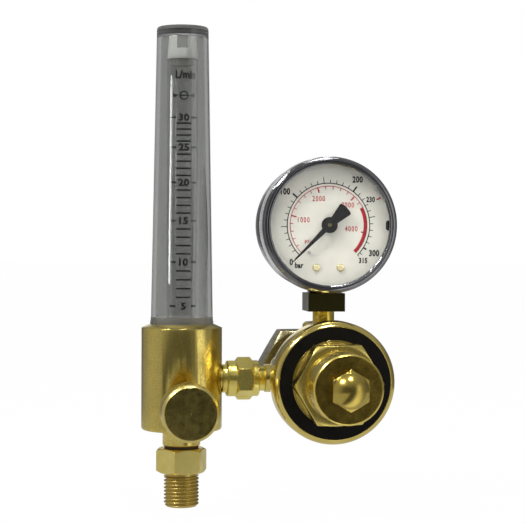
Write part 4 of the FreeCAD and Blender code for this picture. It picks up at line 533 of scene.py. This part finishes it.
COVER_CLEAR = make_clear("cover plastic", screen(201, 202, 200), screen(197, 198, 196), (0.01, 0.03), 1.49,
                         smoke=125.0, frosted=(COVER_FOOT, COVER_ROOF))
TUBE_CLEAR = make_clear("tube plastic", screen(224, 224, 222), screen(220, 220, 218), (0.01, 0.03), 1.49)
WINDOW_CLEAR = make_clear("window plastic", screen(250, 250, 250), screen(247, 247, 247), (0.0, 0.01), 1.45,
                          ripple=0.01)
dress(COVER_CLEAR, "tube_cover")
dress(TUBE_CLEAR, "metering_tube")
dress(WINDOW_CLEAR, "gauge_window")
print("clear pieces dressed")

# %% [markdown]
# Print is real geometry here: a thin skin that stands a hair above the surface. Strokes
# and rings are built from corner points. Letters come from Blender's own typeface as a
# curve, turned into a mesh, scaled to the height that the photograph shows.

# %% Helpers for print
SKIN = 0.00003


def keep_mesh(name, mesh, material, body):
    """Makes an object of a mesh and lets it ride with a body."""
    piece = bpy.data.objects.new(name, mesh)
    bpy.context.scene.collection.objects.link(piece)
    mesh.materials.clear()
    mesh.materials.append(material)
    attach(piece, body)
    return piece


def letter_mesh(text, height, bold=0.0, narrow=1.0, spread=1.0):
    """Flat letters about their own middle, in metres, as a list of corners and faces."""
    curve = bpy.data.curves.new("letters", "FONT")
    curve.body = text
    curve.offset = bold
    curve.space_character = spread
    curve.resolution_u = 3
    holder = bpy.data.objects.new("letters", curve)
    bpy.context.scene.collection.objects.link(holder)
    bpy.context.view_layer.update()
    mesh = bpy.data.meshes.new_from_object(holder.evaluated_get(bpy.context.evaluated_depsgraph_get()))
    bpy.data.objects.remove(holder)
    xs = [v.co.x for v in mesh.vertices]
    ys = [v.co.y for v in mesh.vertices]
    scale = height / (max(ys) - min(ys))
    centre = Vector(((max(xs) + min(xs)) / 2, (max(ys) + min(ys)) / 2, 0))
    corners = [Vector(((v.co.x - centre.x) * scale * narrow, (v.co.y - centre.y) * scale, 0))
               for v in mesh.vertices]
    faces = [tuple(face.vertices) for face in mesh.polygons]
    bpy.data.meshes.remove(mesh)
    return corners, faces


class Print:
    """Collects flat shapes and lays them on a surface as one mesh."""

    def __init__(self, lay):
        self.lay = lay
        self.corners = []
        self.faces = []

    def shape(self, corners, faces):
        """Lays flat corners on the surface and joins them by faces."""
        start = len(self.corners)
        self.corners += [self.lay(x, y) for x, y in corners]
        self.faces += [tuple(start + i for i in face) for face in faces]

    def stroke(self, x0, y0, x1, y1, width, steps=1):
        """A straight bar between two points."""
        along = Vector((x1 - x0, y1 - y0))
        side = Vector((-along.y, along.x)).normalized() * width / 2
        for step in range(steps):
            a = Vector((x0, y0)) + along * step / steps
            b = Vector((x0, y0)) + along * (step + 1) / steps
            self.shape([a - side, b - side, b + side, a + side], [(0, 1, 2, 3)])

    def arc(self, radius_in, radius_out, start, end, steps=48, centre=(0, 0)):
        """A band of a circle between two angles, in degrees, anticlockwise."""
        for step in range(steps):
            angles = [math.radians(start + (end - start) * (step + k) / steps) for k in (0, 1)]
            ring = [(centre[0] + r * math.cos(a), centre[1] + r * math.sin(a))
                    for r, a in ((radius_in, angles[0]), (radius_out, angles[0]),
                                 (radius_out, angles[1]), (radius_in, angles[1]))]
            self.shape(ring, [(0, 1, 2, 3)])

    def text(self, words, height, x, y, bold=0.0, narrow=1.0, spread=1.0):
        """Letters about a middle point."""
        corners, faces = letter_mesh(words, height, bold, narrow, spread)
        self.shape([(c.x + x, c.y + y) for c in corners], faces)

    def keep(self, name, material, body):
        """Turns what was collected into a piece."""
        mesh = bpy.data.meshes.new(name)
        mesh.from_pydata([tuple(c) for c in self.corners], [], self.faces)
        mesh.validate()
        return keep_mesh(name, mesh, material, body)


print("print helpers ready, skin", SKIN * 1000, "mm")

# %% [markdown]
# The tube's scale reads litres per minute from 5 to 30. Its steps widen downwards,
# because the bore is tapered. Each height below, in millimetres, was read off the
# photograph. The lines wrap round the tube, so a flat x becomes an angle. A ring between
# two arrows shows that the ball is read at its middle.

# %% Scale on the metering tube
TUBE_SKIN_R = TUBE_R + SKIN
MAJORS = {30: 97.7, 25: 86.6, 20: 73.5, 15: 59.3, 10: 43.9, 5: 27.5}
STEPS = 5
BOLD = 0.045
DIGIT_HEIGHT = 2.8 * MM
DASH_IN, DASH_OUT, DASH_WIDTH = 2.9 * MM, 5.6 * MM, 0.75 * MM
LINE_HALF, LINE_WIDTH = 2.7 * MM, 0.6 * MM
UNIT_X, UNIT_Z, UNIT_HEIGHT = 0.7 * MM, 113.6 * MM, 3.2 * MM
MARK_Z, MARK_IN, MARK_OUT = 105.8 * MM, 1.2 * MM, 1.7 * MM
MARK_BAR_HALF, MARK_BAR_WIDTH = 1.3 * MM, 0.5 * MM
ARROW_TIP, ARROW_TAIL, ARROW_HALF = 1.9 * MM, 4.2 * MM, 0.9 * MM


def on_tube(x, y):
    """Wraps flat metres round the front of the tube."""
    angle = x / TUBE_R
    return (FLOW_X + TUBE_SKIN_R * math.sin(angle), FLOW_Y - TUBE_SKIN_R * math.cos(angle), y)


def draw_tube_scale():
    """The numbers, lines, unit and reading mark as one piece."""
    scale = Print(on_tube)
    readings = sorted(MAJORS)
    for reading in readings:
        height = MAJORS[reading] * MM
        scale.text(str(reading), DIGIT_HEIGHT, 0, height, bold=BOLD, narrow=1.08, spread=1.06)
        for side in (-1, 1):
            scale.stroke(side * DASH_IN, height, side * DASH_OUT, height, DASH_WIDTH, steps=8)
    for low, high in zip(readings, readings[1:]):
        for step in range(1, STEPS):
            height = (MAJORS[low] + (MAJORS[high] - MAJORS[low]) * step / STEPS) * MM
            scale.stroke(-LINE_HALF, height, LINE_HALF, height, LINE_WIDTH, steps=8)
    scale.text("L/min", UNIT_HEIGHT, UNIT_X, UNIT_Z, bold=BOLD, narrow=0.86)
    scale.arc(MARK_IN, MARK_OUT, 0, 360, 32, (0, MARK_Z))
    scale.stroke(-MARK_BAR_HALF, MARK_Z, MARK_BAR_HALF, MARK_Z, MARK_BAR_WIDTH, steps=4)
    for side in (-1, 1):
        tip, tail = side * ARROW_TIP, side * ARROW_TAIL
        scale.shape([(tip, MARK_Z), (tail, MARK_Z - ARROW_HALF), (tail, MARK_Z + ARROW_HALF)], [(0, 1, 2)])
    return scale.keep("tube_scale", BLACK_PRINT, "regulator")


TUBE_SCALE = draw_tube_scale()
print("tube scale faces:", len(TUBE_SCALE.data.polygons))

# %% [markdown]
# The dial has two scales: black bar outside, from 0 to 315, and red psi inside, from 0 to
# 4500. Both start at the lower left and run clockwise through 270 degrees. A thick red
# band warns from 230 bar up. Radii and places on the dial are in millimetres.

# %% Scales on the dial
ZERO_ANGLE, SWEEP, FULL_BAR = 225.0, 270.0, 315.0
BAR_PER_PSI = 0.0689476
DIAL_SKIN = 0.00007
RING_STEPS = 96
BAR_RING = (15.5, 15.85)
BAR_FOOT, BAR_TICK, BAR_LONG_TICK, BAR_LAST_TICK = 15.6, 17.0, 18.0, 16.4
BAR_BOLD, BAR_FINE = 0.62, 0.28
BAR_WORDS = (("0", -14.1, -13.8, 2.5), ("100", -16.4, 12.5, 2.5), ("200", 10.97, 17.15, 2.5),
             ("300", 17.4, -10.4, 2.5), ("230", 15.96, 9.7, 2.1), ("315", 13.2, -13.2, 2.1),
             ("bar", -11.1, -15.0, 2.2))
PSI_RING = (14.45, 14.7)
PSI_FOOT, PSI_TICK, PSI_LONG_TICK = 14.6, 13.4, 12.6
PSI_BOLD, PSI_FINE = 0.5, 0.26
PSI_HEIGHT = 2.0
PSI_WORDS = (("1000", -9.45, 1.95), ("2000", -3.8, 9.9), ("3000", 7.3, 7.6), ("4000", 8.6, -1.3),
             ("psi", -7.9, -6.1))
WARNING_BAR, WARNING_BAND, WARNING_TICK = 230, (13.35, 14.75), (20.6, 22.4)


def on_dial(x, y):
    """Lays flat metres on the dial's face."""
    return (DIAL.x + x, DIAL_FACE - DIAL_SKIN, DIAL.z + y)


def bar_angle(bar):
    """Angle of a pressure on the dial, in degrees, anticlockwise from the right."""
    return ZERO_ANGLE - SWEEP * bar / FULL_BAR


def radial(scale, angle, inner, outer, width):
    """A tick between two radii."""
    across, up = math.cos(math.radians(angle)), math.sin(math.radians(angle))
    scale.stroke(inner * MM * across, inner * MM * up, outer * MM * across, outer * MM * up, width * MM)


def band(scale, radii, first_bar, steps):
    """A band between two radii, from a pressure to the end of the scale."""
    inner, outer = radii
    scale.arc(inner * MM, outer * MM, bar_angle(FULL_BAR), bar_angle(first_bar), steps)


def draw_bar_scale():
    """The black scale, its ticks and its words."""
    scale = Print(on_dial)
    band(scale, BAR_RING, 0, RING_STEPS)
    for bar in [*range(0, 311, 10), 315]:
        long_tick = bar in range(0, 300, 50)
        bold_tick = bar in (100, 200, 300)
        reach = BAR_LAST_TICK if bar == FULL_BAR else BAR_LONG_TICK if long_tick else BAR_TICK
        radial(scale, bar_angle(bar), BAR_FOOT, reach, BAR_BOLD if bold_tick else BAR_FINE)
    for words, x, y, size in BAR_WORDS:
        scale.text(words, size * MM, x * MM, y * MM, bold=BOLD, narrow=0.78, spread=1.1)
    return scale.keep("dial_bar_scale", BLACK_PRINT, "regulator")


def draw_psi_scale():
    """The red scale, the warning band and their words."""
    scale = Print(on_dial)
    band(scale, PSI_RING, 0, RING_STEPS)
    for psi in range(0, 4501, 200):
        major = psi % 1000 == 0
        reach = PSI_LONG_TICK if major else PSI_TICK
        radial(scale, bar_angle(psi * BAR_PER_PSI), reach, PSI_FOOT, PSI_BOLD if major else PSI_FINE)
    band(scale, WARNING_BAND, WARNING_BAR, 40)
    radial(scale, bar_angle(WARNING_BAR), *WARNING_TICK, PSI_BOLD)
    for words, x, y in PSI_WORDS:
        scale.text(words, PSI_HEIGHT * MM, x * MM, y * MM, bold=0.012, narrow=0.74, spread=1.25)
    return scale.keep("dial_psi_scale", RED_PRINT, "regulator")


BAR_SCALE = draw_bar_scale()
PSI_SCALE = draw_psi_scale()
print("dial print faces:", len(BAR_SCALE.data.polygons) + len(PSI_SCALE.data.polygons))

# %% [markdown]
# The outlet's thread is cut in the dressing only, because a helix would be far too heavy
# in the solids. A copy of the solid loses its plain shaft, and a grid whose radius
# follows a rounded tooth along the helix takes its place.

# %% Helical thread
THREAD_R = 6.5785 * MM
THREAD_PITCH = 1.337 * MM
THREAD_DEPTH = 0.8 * MM
THREAD_CHAMFER = 1.0 * MM
THREAD_LENGTH = 11.5 * MM
ROWS_PER_TURN = 14
CREST_FLAT = 0.12
RUNOUT_SLOPE = 1.2
BORE_REACH = 5.3 * MM


def thread_mesh(name, centre, top, bottom, crest, depth, pitch, chamfer):
    """A threaded shaft round an upright axis, between two heights."""
    mesh = bmesh.new()
    around = 72
    rows = int(round((top - bottom) / pitch * ROWS_PER_TURN))
    rings = []
    for row in range(rows + 1):
        z = top + (bottom - top) * row / rows
        ring = []
        for column in range(around):
            share = (z / pitch - column / around) % 1.0
            tooth = min(1.0, max(0.0, (abs(share - 0.5) * 2 - CREST_FLAT) / (1 - 2 * CREST_FLAT)))
            radius = crest - depth * (1 - tooth * tooth * (3 - 2 * tooth))
            radius = min(radius, crest - chamfer + (z - bottom))
            radius = min(radius, crest - depth + (top - z) * RUNOUT_SLOPE)
            angle = 2 * math.pi * column / around
            ring.append(mesh.verts.new((centre[0] + radius * math.cos(angle),
                                        centre[1] + radius * math.sin(angle), z)))
        rings.append(ring)
    for upper, lower in zip(rings, rings[1:]):
        for column in range(around):
            after = (column + 1) % around
            mesh.faces.new((upper[column], lower[column], lower[after], upper[after]))
    for face in mesh.faces:
        face.smooth = True
    result = bpy.data.meshes.new(name)
    mesh.to_mesh(result)
    mesh.free()
    return result


ADAPTER_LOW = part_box("outlet_adapter")[0]
THREAD_TOP = ADAPTER_LOW.z + THREAD_LENGTH
THREAD = keep_mesh("outlet_thread",
                   thread_mesh("outlet_thread", (FLOW_X, FLOW_Y), THREAD_TOP, ADAPTER_LOW.z, THREAD_R,
                               THREAD_DEPTH, THREAD_PITCH, THREAD_CHAMFER),
                   OUTLET_BRASS, "regulator")


def copy_without(node, unwanted, material, body):
    """A copy of a solid's mesh without the faces that a test picks out."""
    mesh = bmesh.new()
    mesh.from_mesh(NODES[node].data)
    gone = [face for face in mesh.faces if unwanted(face)]
    bmesh.ops.delete(mesh, geom=gone, context="FACES")
    result = bpy.data.meshes.new(node + "_dressed")
    mesh.to_mesh(result)
    mesh.free()
    piece = keep_mesh(node + "_dressed", result, material, body)
    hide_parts(node)
    return piece


def on_thread(face):
    """True for the plain shaft and its chamfer, but not for the bore or the end face."""
    spot = face.calc_center_median()
    reach = math.hypot(spot.x - FLOW_X, spot.y - FLOW_Y)
    below = max(v.co.z for v in face.verts) < THREAD_TOP + 0.1 * MM
    level = abs(face.normal.z) >= 0.99
    return below and reach > BORE_REACH and not level


ADAPTER = copy_without("outlet_adapter", on_thread, OUTLET_BRASS, "regulator")
print("thread faces:", len(THREAD.data.polygons), "adapter faces:", len(ADAPTER.data.polygons))

# %% [markdown]
# The solids arrive with hard edges. Real edges have a tiny round that catches the light,
# so the pieces that show get a weld, which joins the split corners, and a narrow bevel.

# %% Small rounds on the metal edges
CORNER_GAP = 0.000002
SHARP_ANGLE = math.radians(28)
ROUND = 0.00014
ROUNDED = ("flow_body", "flow_knob", "regulator_body", "bonnet", "cap_nut", "union_nut", "union_stem",
           "union_tail", "inlet_nut", "inlet_nipple", "gauge_bezel", "gauge_case", "gauge_stem",
           "valve_gland", "top_plug", "label_ring")


def soften(piece, width):
    """Joins split corners and rounds the sharp edges of a piece."""
    weld = piece.modifiers.new("join corners", "WELD")
    weld.merge_threshold = CORNER_GAP
    bevel = piece.modifiers.new("small rounds", "BEVEL")
    bevel.width = width
    bevel.segments = 2
    bevel.limit_method = "ANGLE"
    bevel.angle_limit = SHARP_ANGLE
    bevel.harden_normals = True


for name in ROUNDED:
    soften(NODES[name], ROUND)
soften(ADAPTER, ROUND)
print("edges rounded")

# %% [markdown]
# Polished brass has no colour of its own to show: it shows the room, tinted. So the room
# matters as much as the metal. This one is a plain studio. Behind the object it is white.
# The side of the camera is dim, a tall soft window stands on the right, and the left wall
# is grey. A group turns a direction into the wall's tone, because the world and the floor
# both need it. All of it is fixed to the room, so it stays put when the camera moves. Each
# stop below is a bearing in degrees, 0 towards the front and growing to the right, and
# the tone there.

# %% Tones of the room's walls
WALLS = ((-180, 1.0), (-177, 1.0), (-173, 0.13), (-160, 0.16), (-150, 0.26), (-124, 0.38),
         (-104, 0.46), (-74, 0.42), (-60, 0.33), (-48, 0.18), (-38, 0.1), (27, 0.1), (33, 0.4),
         (37, 1.25), (51, 1.25), (59, 0.5), (76, 0.27), (100, 0.18), (140, 0.14), (172, 0.14),
         (176, 1.0), (180, 1.0))


def grey_ramp(tree, value, low, high, stops):
    """A grey ramp over a value, with stops given as places between low and high."""
    share = add(tree, "ShaderNodeMapRange", {"Value": value, "From Min": low, "From Max": high})
    ramp = add(tree, "ShaderNodeValToRGB", {"Fac": share.outputs[0]})
    elements = ramp.color_ramp.elements
    while len(elements) < len(stops):
        elements.new(0.5)
    for element, (place, level) in zip(elements, stops):
        element.position = (place - low) / (high - low)
        element.color = (level, level, level, 1.0)
    return ramp.outputs["Color"]


def make_room_tones():
    """The wall's tone in a direction."""
    tree, source, sink = new_group("Room tones", [("Direction", VECTOR, (0, 0, 0))], [("Tone", COLOUR)])
    parts = add(tree, "ShaderNodeSeparateXYZ", {0: source.outputs["Direction"]})
    front = maths(tree, "MULTIPLY", parts.outputs[1], -1.0)
    bearing = maths(tree, "ARCTAN2", parts.outputs[0], front)
    degrees = maths(tree, "MULTIPLY", bearing, 180 / math.pi)
    tree.links.new(grey_ramp(tree, degrees, -180, 180, WALLS), sink.inputs["Tone"])
    return tree


ROOM_TONES = make_room_tones()
print("room has", len(WALLS), "wall tones")

# %% [markdown]
# What the camera and the clear pieces see directly is plain white. Metal sees the walls
# below and a grey ceiling above. Matt surfaces get one even light.

# %% World
WORLD = bpy.data.worlds.new("studio")
bpy.context.scene.world = WORLD
WORLD.use_nodes = True
WORLD.node_tree.nodes.clear()
CEILING_SHARE = ((0.0, 0.0), (0.3, 0.0), (0.6, 1.0), (1.0, 1.0))
CEILING_TONE = (0.34, 0.34, 0.34, 1.0)
AMBIENT = 0.42


def seen_directly(tree, rays):
    """One for rays of the camera and rays through clear pieces, otherwise zero."""
    return maths(tree, "MAXIMUM", rays.outputs["Is Camera Ray"], rays.outputs["Is Transmission Ray"])


def fill_world(tree):
    """White to the eye, walls and ceiling to metal, and an even light to the rest."""
    rays = add(tree, "ShaderNodeLightPath")
    towards = add(tree, "ShaderNodeTexCoord").outputs["Generated"]
    walls = use_group(tree, ROOM_TONES, {"Direction": towards}).outputs["Tone"]
    rise = add(tree, "ShaderNodeSeparateXYZ", {0: towards}).outputs[2]
    room = mix_colour(tree, grey_ramp(tree, rise, 0, 1, CEILING_SHARE), walls, CEILING_TONE)
    mirrored = add(tree, "ShaderNodeBackground", {"Color": room, "Strength": 1.0})
    even = add(tree, "ShaderNodeBackground", {"Color": (1, 1, 1, 1), "Strength": AMBIENT})
    white = add(tree, "ShaderNodeBackground", {"Color": (1, 1, 1, 1), "Strength": 1.0})
    metal = add(tree, "ShaderNodeMixShader",
                {0: rays.outputs["Is Glossy Ray"], 1: even.outputs[0], 2: mirrored.outputs[0]})
    every = add(tree, "ShaderNodeMixShader",
                {0: seen_directly(tree, rays), 1: metal.outputs[0], 2: white.outputs[0]})
    add(tree, "ShaderNodeOutputWorld", {"Surface": every.outputs[0]})


fill_world(WORLD.node_tree)
print("world ready, even light", AMBIENT)

# %% [markdown]
# The object hangs from its inlet, so it floats over a pale floor. The camera sees the
# floor as white with a weak shadow of the object on it. In the metal the floor is pale
# near the object, from a little before it backwards and all along its left. Elsewhere it
# takes the tones of the walls, turned about the flow meter's axis.

# %% Floor
FLOOR_HALF = 6.0
FLOOR_GAP = 0.004
WHITE_SHARE = 0.985
NEAR_TONE = (0.56, 0.56, 0.56, 1.0)
NEAR_SHARE = ((0.0, 1.0), (0.26, 1.0), (0.36, 0.0), (1.0, 0.0))
FRONT_EDGE, LEFT_PART = -0.05, -0.03


def make_floor():
    """A large level sheet just below the object."""
    mesh = bpy.data.meshes.new("floor")
    build = bmesh.new()
    bmesh.ops.create_grid(build, x_segments=2, y_segments=2, size=FLOOR_HALF)
    build.to_mesh(mesh)
    build.free()
    floor = bpy.data.objects.new("floor", mesh)
    bpy.context.scene.collection.objects.link(floor)
    floor.location = (0, FLOW_Y, CAD_BOX[0].z - FLOOR_GAP)
    material = bpy.data.materials.new("pale floor")
    material.use_nodes = True
    tree = material.node_tree
    tree.nodes.clear()
    rays = add(tree, "ShaderNodeLightPath")
    place = add(tree, "ShaderNodeTexCoord").outputs["Object"]
    reach = add(tree, "ShaderNodeVectorMath", {0: place}, operation="LENGTH")
    around = add(tree, "ShaderNodeVectorMath", {0: place, 1: (FLOW_X, 0.0, 0.0)}, operation="SUBTRACT")
    walls = use_group(tree, ROOM_TONES, {"Direction": around.outputs[0]}).outputs["Tone"]
    parts = add(tree, "ShaderNodeSeparateXYZ", {0: place})
    behind = maths(tree, "GREATER_THAN", parts.outputs[1], FRONT_EDGE)
    leftwards = maths(tree, "LESS_THAN", parts.outputs[0], LEFT_PART)
    covered = maths(tree, "MAXIMUM", behind, leftwards)
    near = maths(tree, "MULTIPLY", grey_ramp(tree, reach.outputs["Value"], 0, 1, NEAR_SHARE), covered)
    tones = mix_colour(tree, near, walls, NEAR_TONE)
    pale = add(tree, "ShaderNodeBsdfDiffuse", {"Color": screen(236, 236, 236)})
    bright = add(tree, "ShaderNodeEmission", {"Color": (1, 1, 1, 1), "Strength": 1.0})
    white = add(tree, "ShaderNodeMixShader", {0: WHITE_SHARE, 1: pale.outputs[0], 2: bright.outputs[0]})
    toned = add(tree, "ShaderNodeEmission", {"Color": tones, "Strength": 1.0})
    lit = add(tree, "ShaderNodeMixShader",
              {0: rays.outputs["Is Glossy Ray"], 1: pale.outputs[0], 2: toned.outputs[0]})
    answer = add(tree, "ShaderNodeMixShader",
                 {0: seen_directly(tree, rays), 1: lit.outputs[0], 2: white.outputs[0]})
    add(tree, "ShaderNodeOutputMaterial", {"Surface": answer.outputs[0]})
    mesh.materials.append(material)
    return floor


FLOOR = make_floor()
print("floor at", round(FLOOR.location.z, 4))

# %% [markdown]
# The pointer's shadow falls to the lower right and the dome carries two small bright
# spots, so two small lamps hang from the ceiling, one on the left and one nearly overhead.
# A weak lamp on the right fills the shadows and stays out of the metal. A low narrow lamp
# on the left lights the clear pieces alone: it draws the bright line down their front.

# %% Lamps


def soft_box(name, place, aim, size, power, mirrored=True, only=None):
    """A rectangular lamp that looks at a point, for all pieces or only for some."""
    lamp = bpy.data.lights.new(name, "AREA")
    lamp.shape = "RECTANGLE"
    lamp.size, lamp.size_y = size
    lamp.energy = power
    holder = bpy.data.objects.new(name, lamp)
    bpy.context.scene.collection.objects.link(holder)
    holder.location = place
    holder.rotation_euler = (Vector(aim) - Vector(place)).to_track_quat("-Z", "Y").to_euler()
    holder.visible_glossy = mirrored
    if only:
        lit = bpy.data.collections.new(name + "_lights")
        for node in only:
            lit.objects.link(NODES[node])
        holder.light_linking.receiver_collection = lit
    return holder


soft_box("left_lamp", (-0.68, -0.445, 0.82), (-0.02, -0.06, 0.03), (0.16, 0.16), 6.5)
soft_box("top_lamp", (0.035, -0.467, 1.05), (-0.02, -0.06, 0.03), (0.16, 0.16), 4.5)
soft_box("fill_lamp", (0.7, -0.6, 0.3), (-0.02, -0.05, 0.03), (0.5, 0.7), 2.0, mirrored=False)
soft_box("line_lamp", (-0.84, -0.60, 0.14), (-0.05, -0.05, 0.06), (0.1, 0.2), 1.1,
         only=("tube_cover", "metering_tube"))

# %% [markdown]
# The camera stands level with the gauge, a little left of the front, about 0.6 m away.
# Its place, turn and lens were solved from nine points of the photograph. The focal
# length is first in pixels of that picture, and the sensor's width turns it into a lens.

# %% Camera
PHOTO_SIDE = 524
FOCAL_PIXELS = 1575.65
SENSOR = 36.0
CAMERA = bpy.data.objects.new("camera", bpy.data.cameras.new("camera"))
bpy.context.scene.collection.objects.link(CAMERA)
CAMERA.data.sensor_width = SENSOR
CAMERA.data.lens = FOCAL_PIXELS / PHOTO_SIDE * SENSOR
CAMERA.location = (-0.10836, -0.64374, 0.05287)
YAW, PITCH, ROLL = math.radians(8.175), math.radians(-0.860), math.radians(0.2345)
LOOK = Vector((math.sin(YAW) * math.cos(PITCH), math.cos(YAW) * math.cos(PITCH), math.sin(PITCH)))
RIGHT = Vector((math.cos(YAW), -math.sin(YAW), 0))
UP = RIGHT.cross(LOOK)
ROLLED_RIGHT = RIGHT * math.cos(ROLL) + UP * math.sin(ROLL)
ROLLED_UP = UP * math.cos(ROLL) - RIGHT * math.sin(ROLL)
CAMERA.rotation_euler = Matrix((ROLLED_RIGHT, ROLLED_UP, -LOOK)).transposed().to_euler()
bpy.context.scene.camera = CAMERA
bpy.context.scene.view_settings.view_transform = "Standard"
print("lens", round(CAMERA.data.lens, 1), "mm")

# %% [markdown]
# Dressing must not make the object bigger. The box of the bare solids is printed.

# %% Size of the solids
print("cad box", [[round(v, 4) for v in corner] for corner in CAD_BOX])
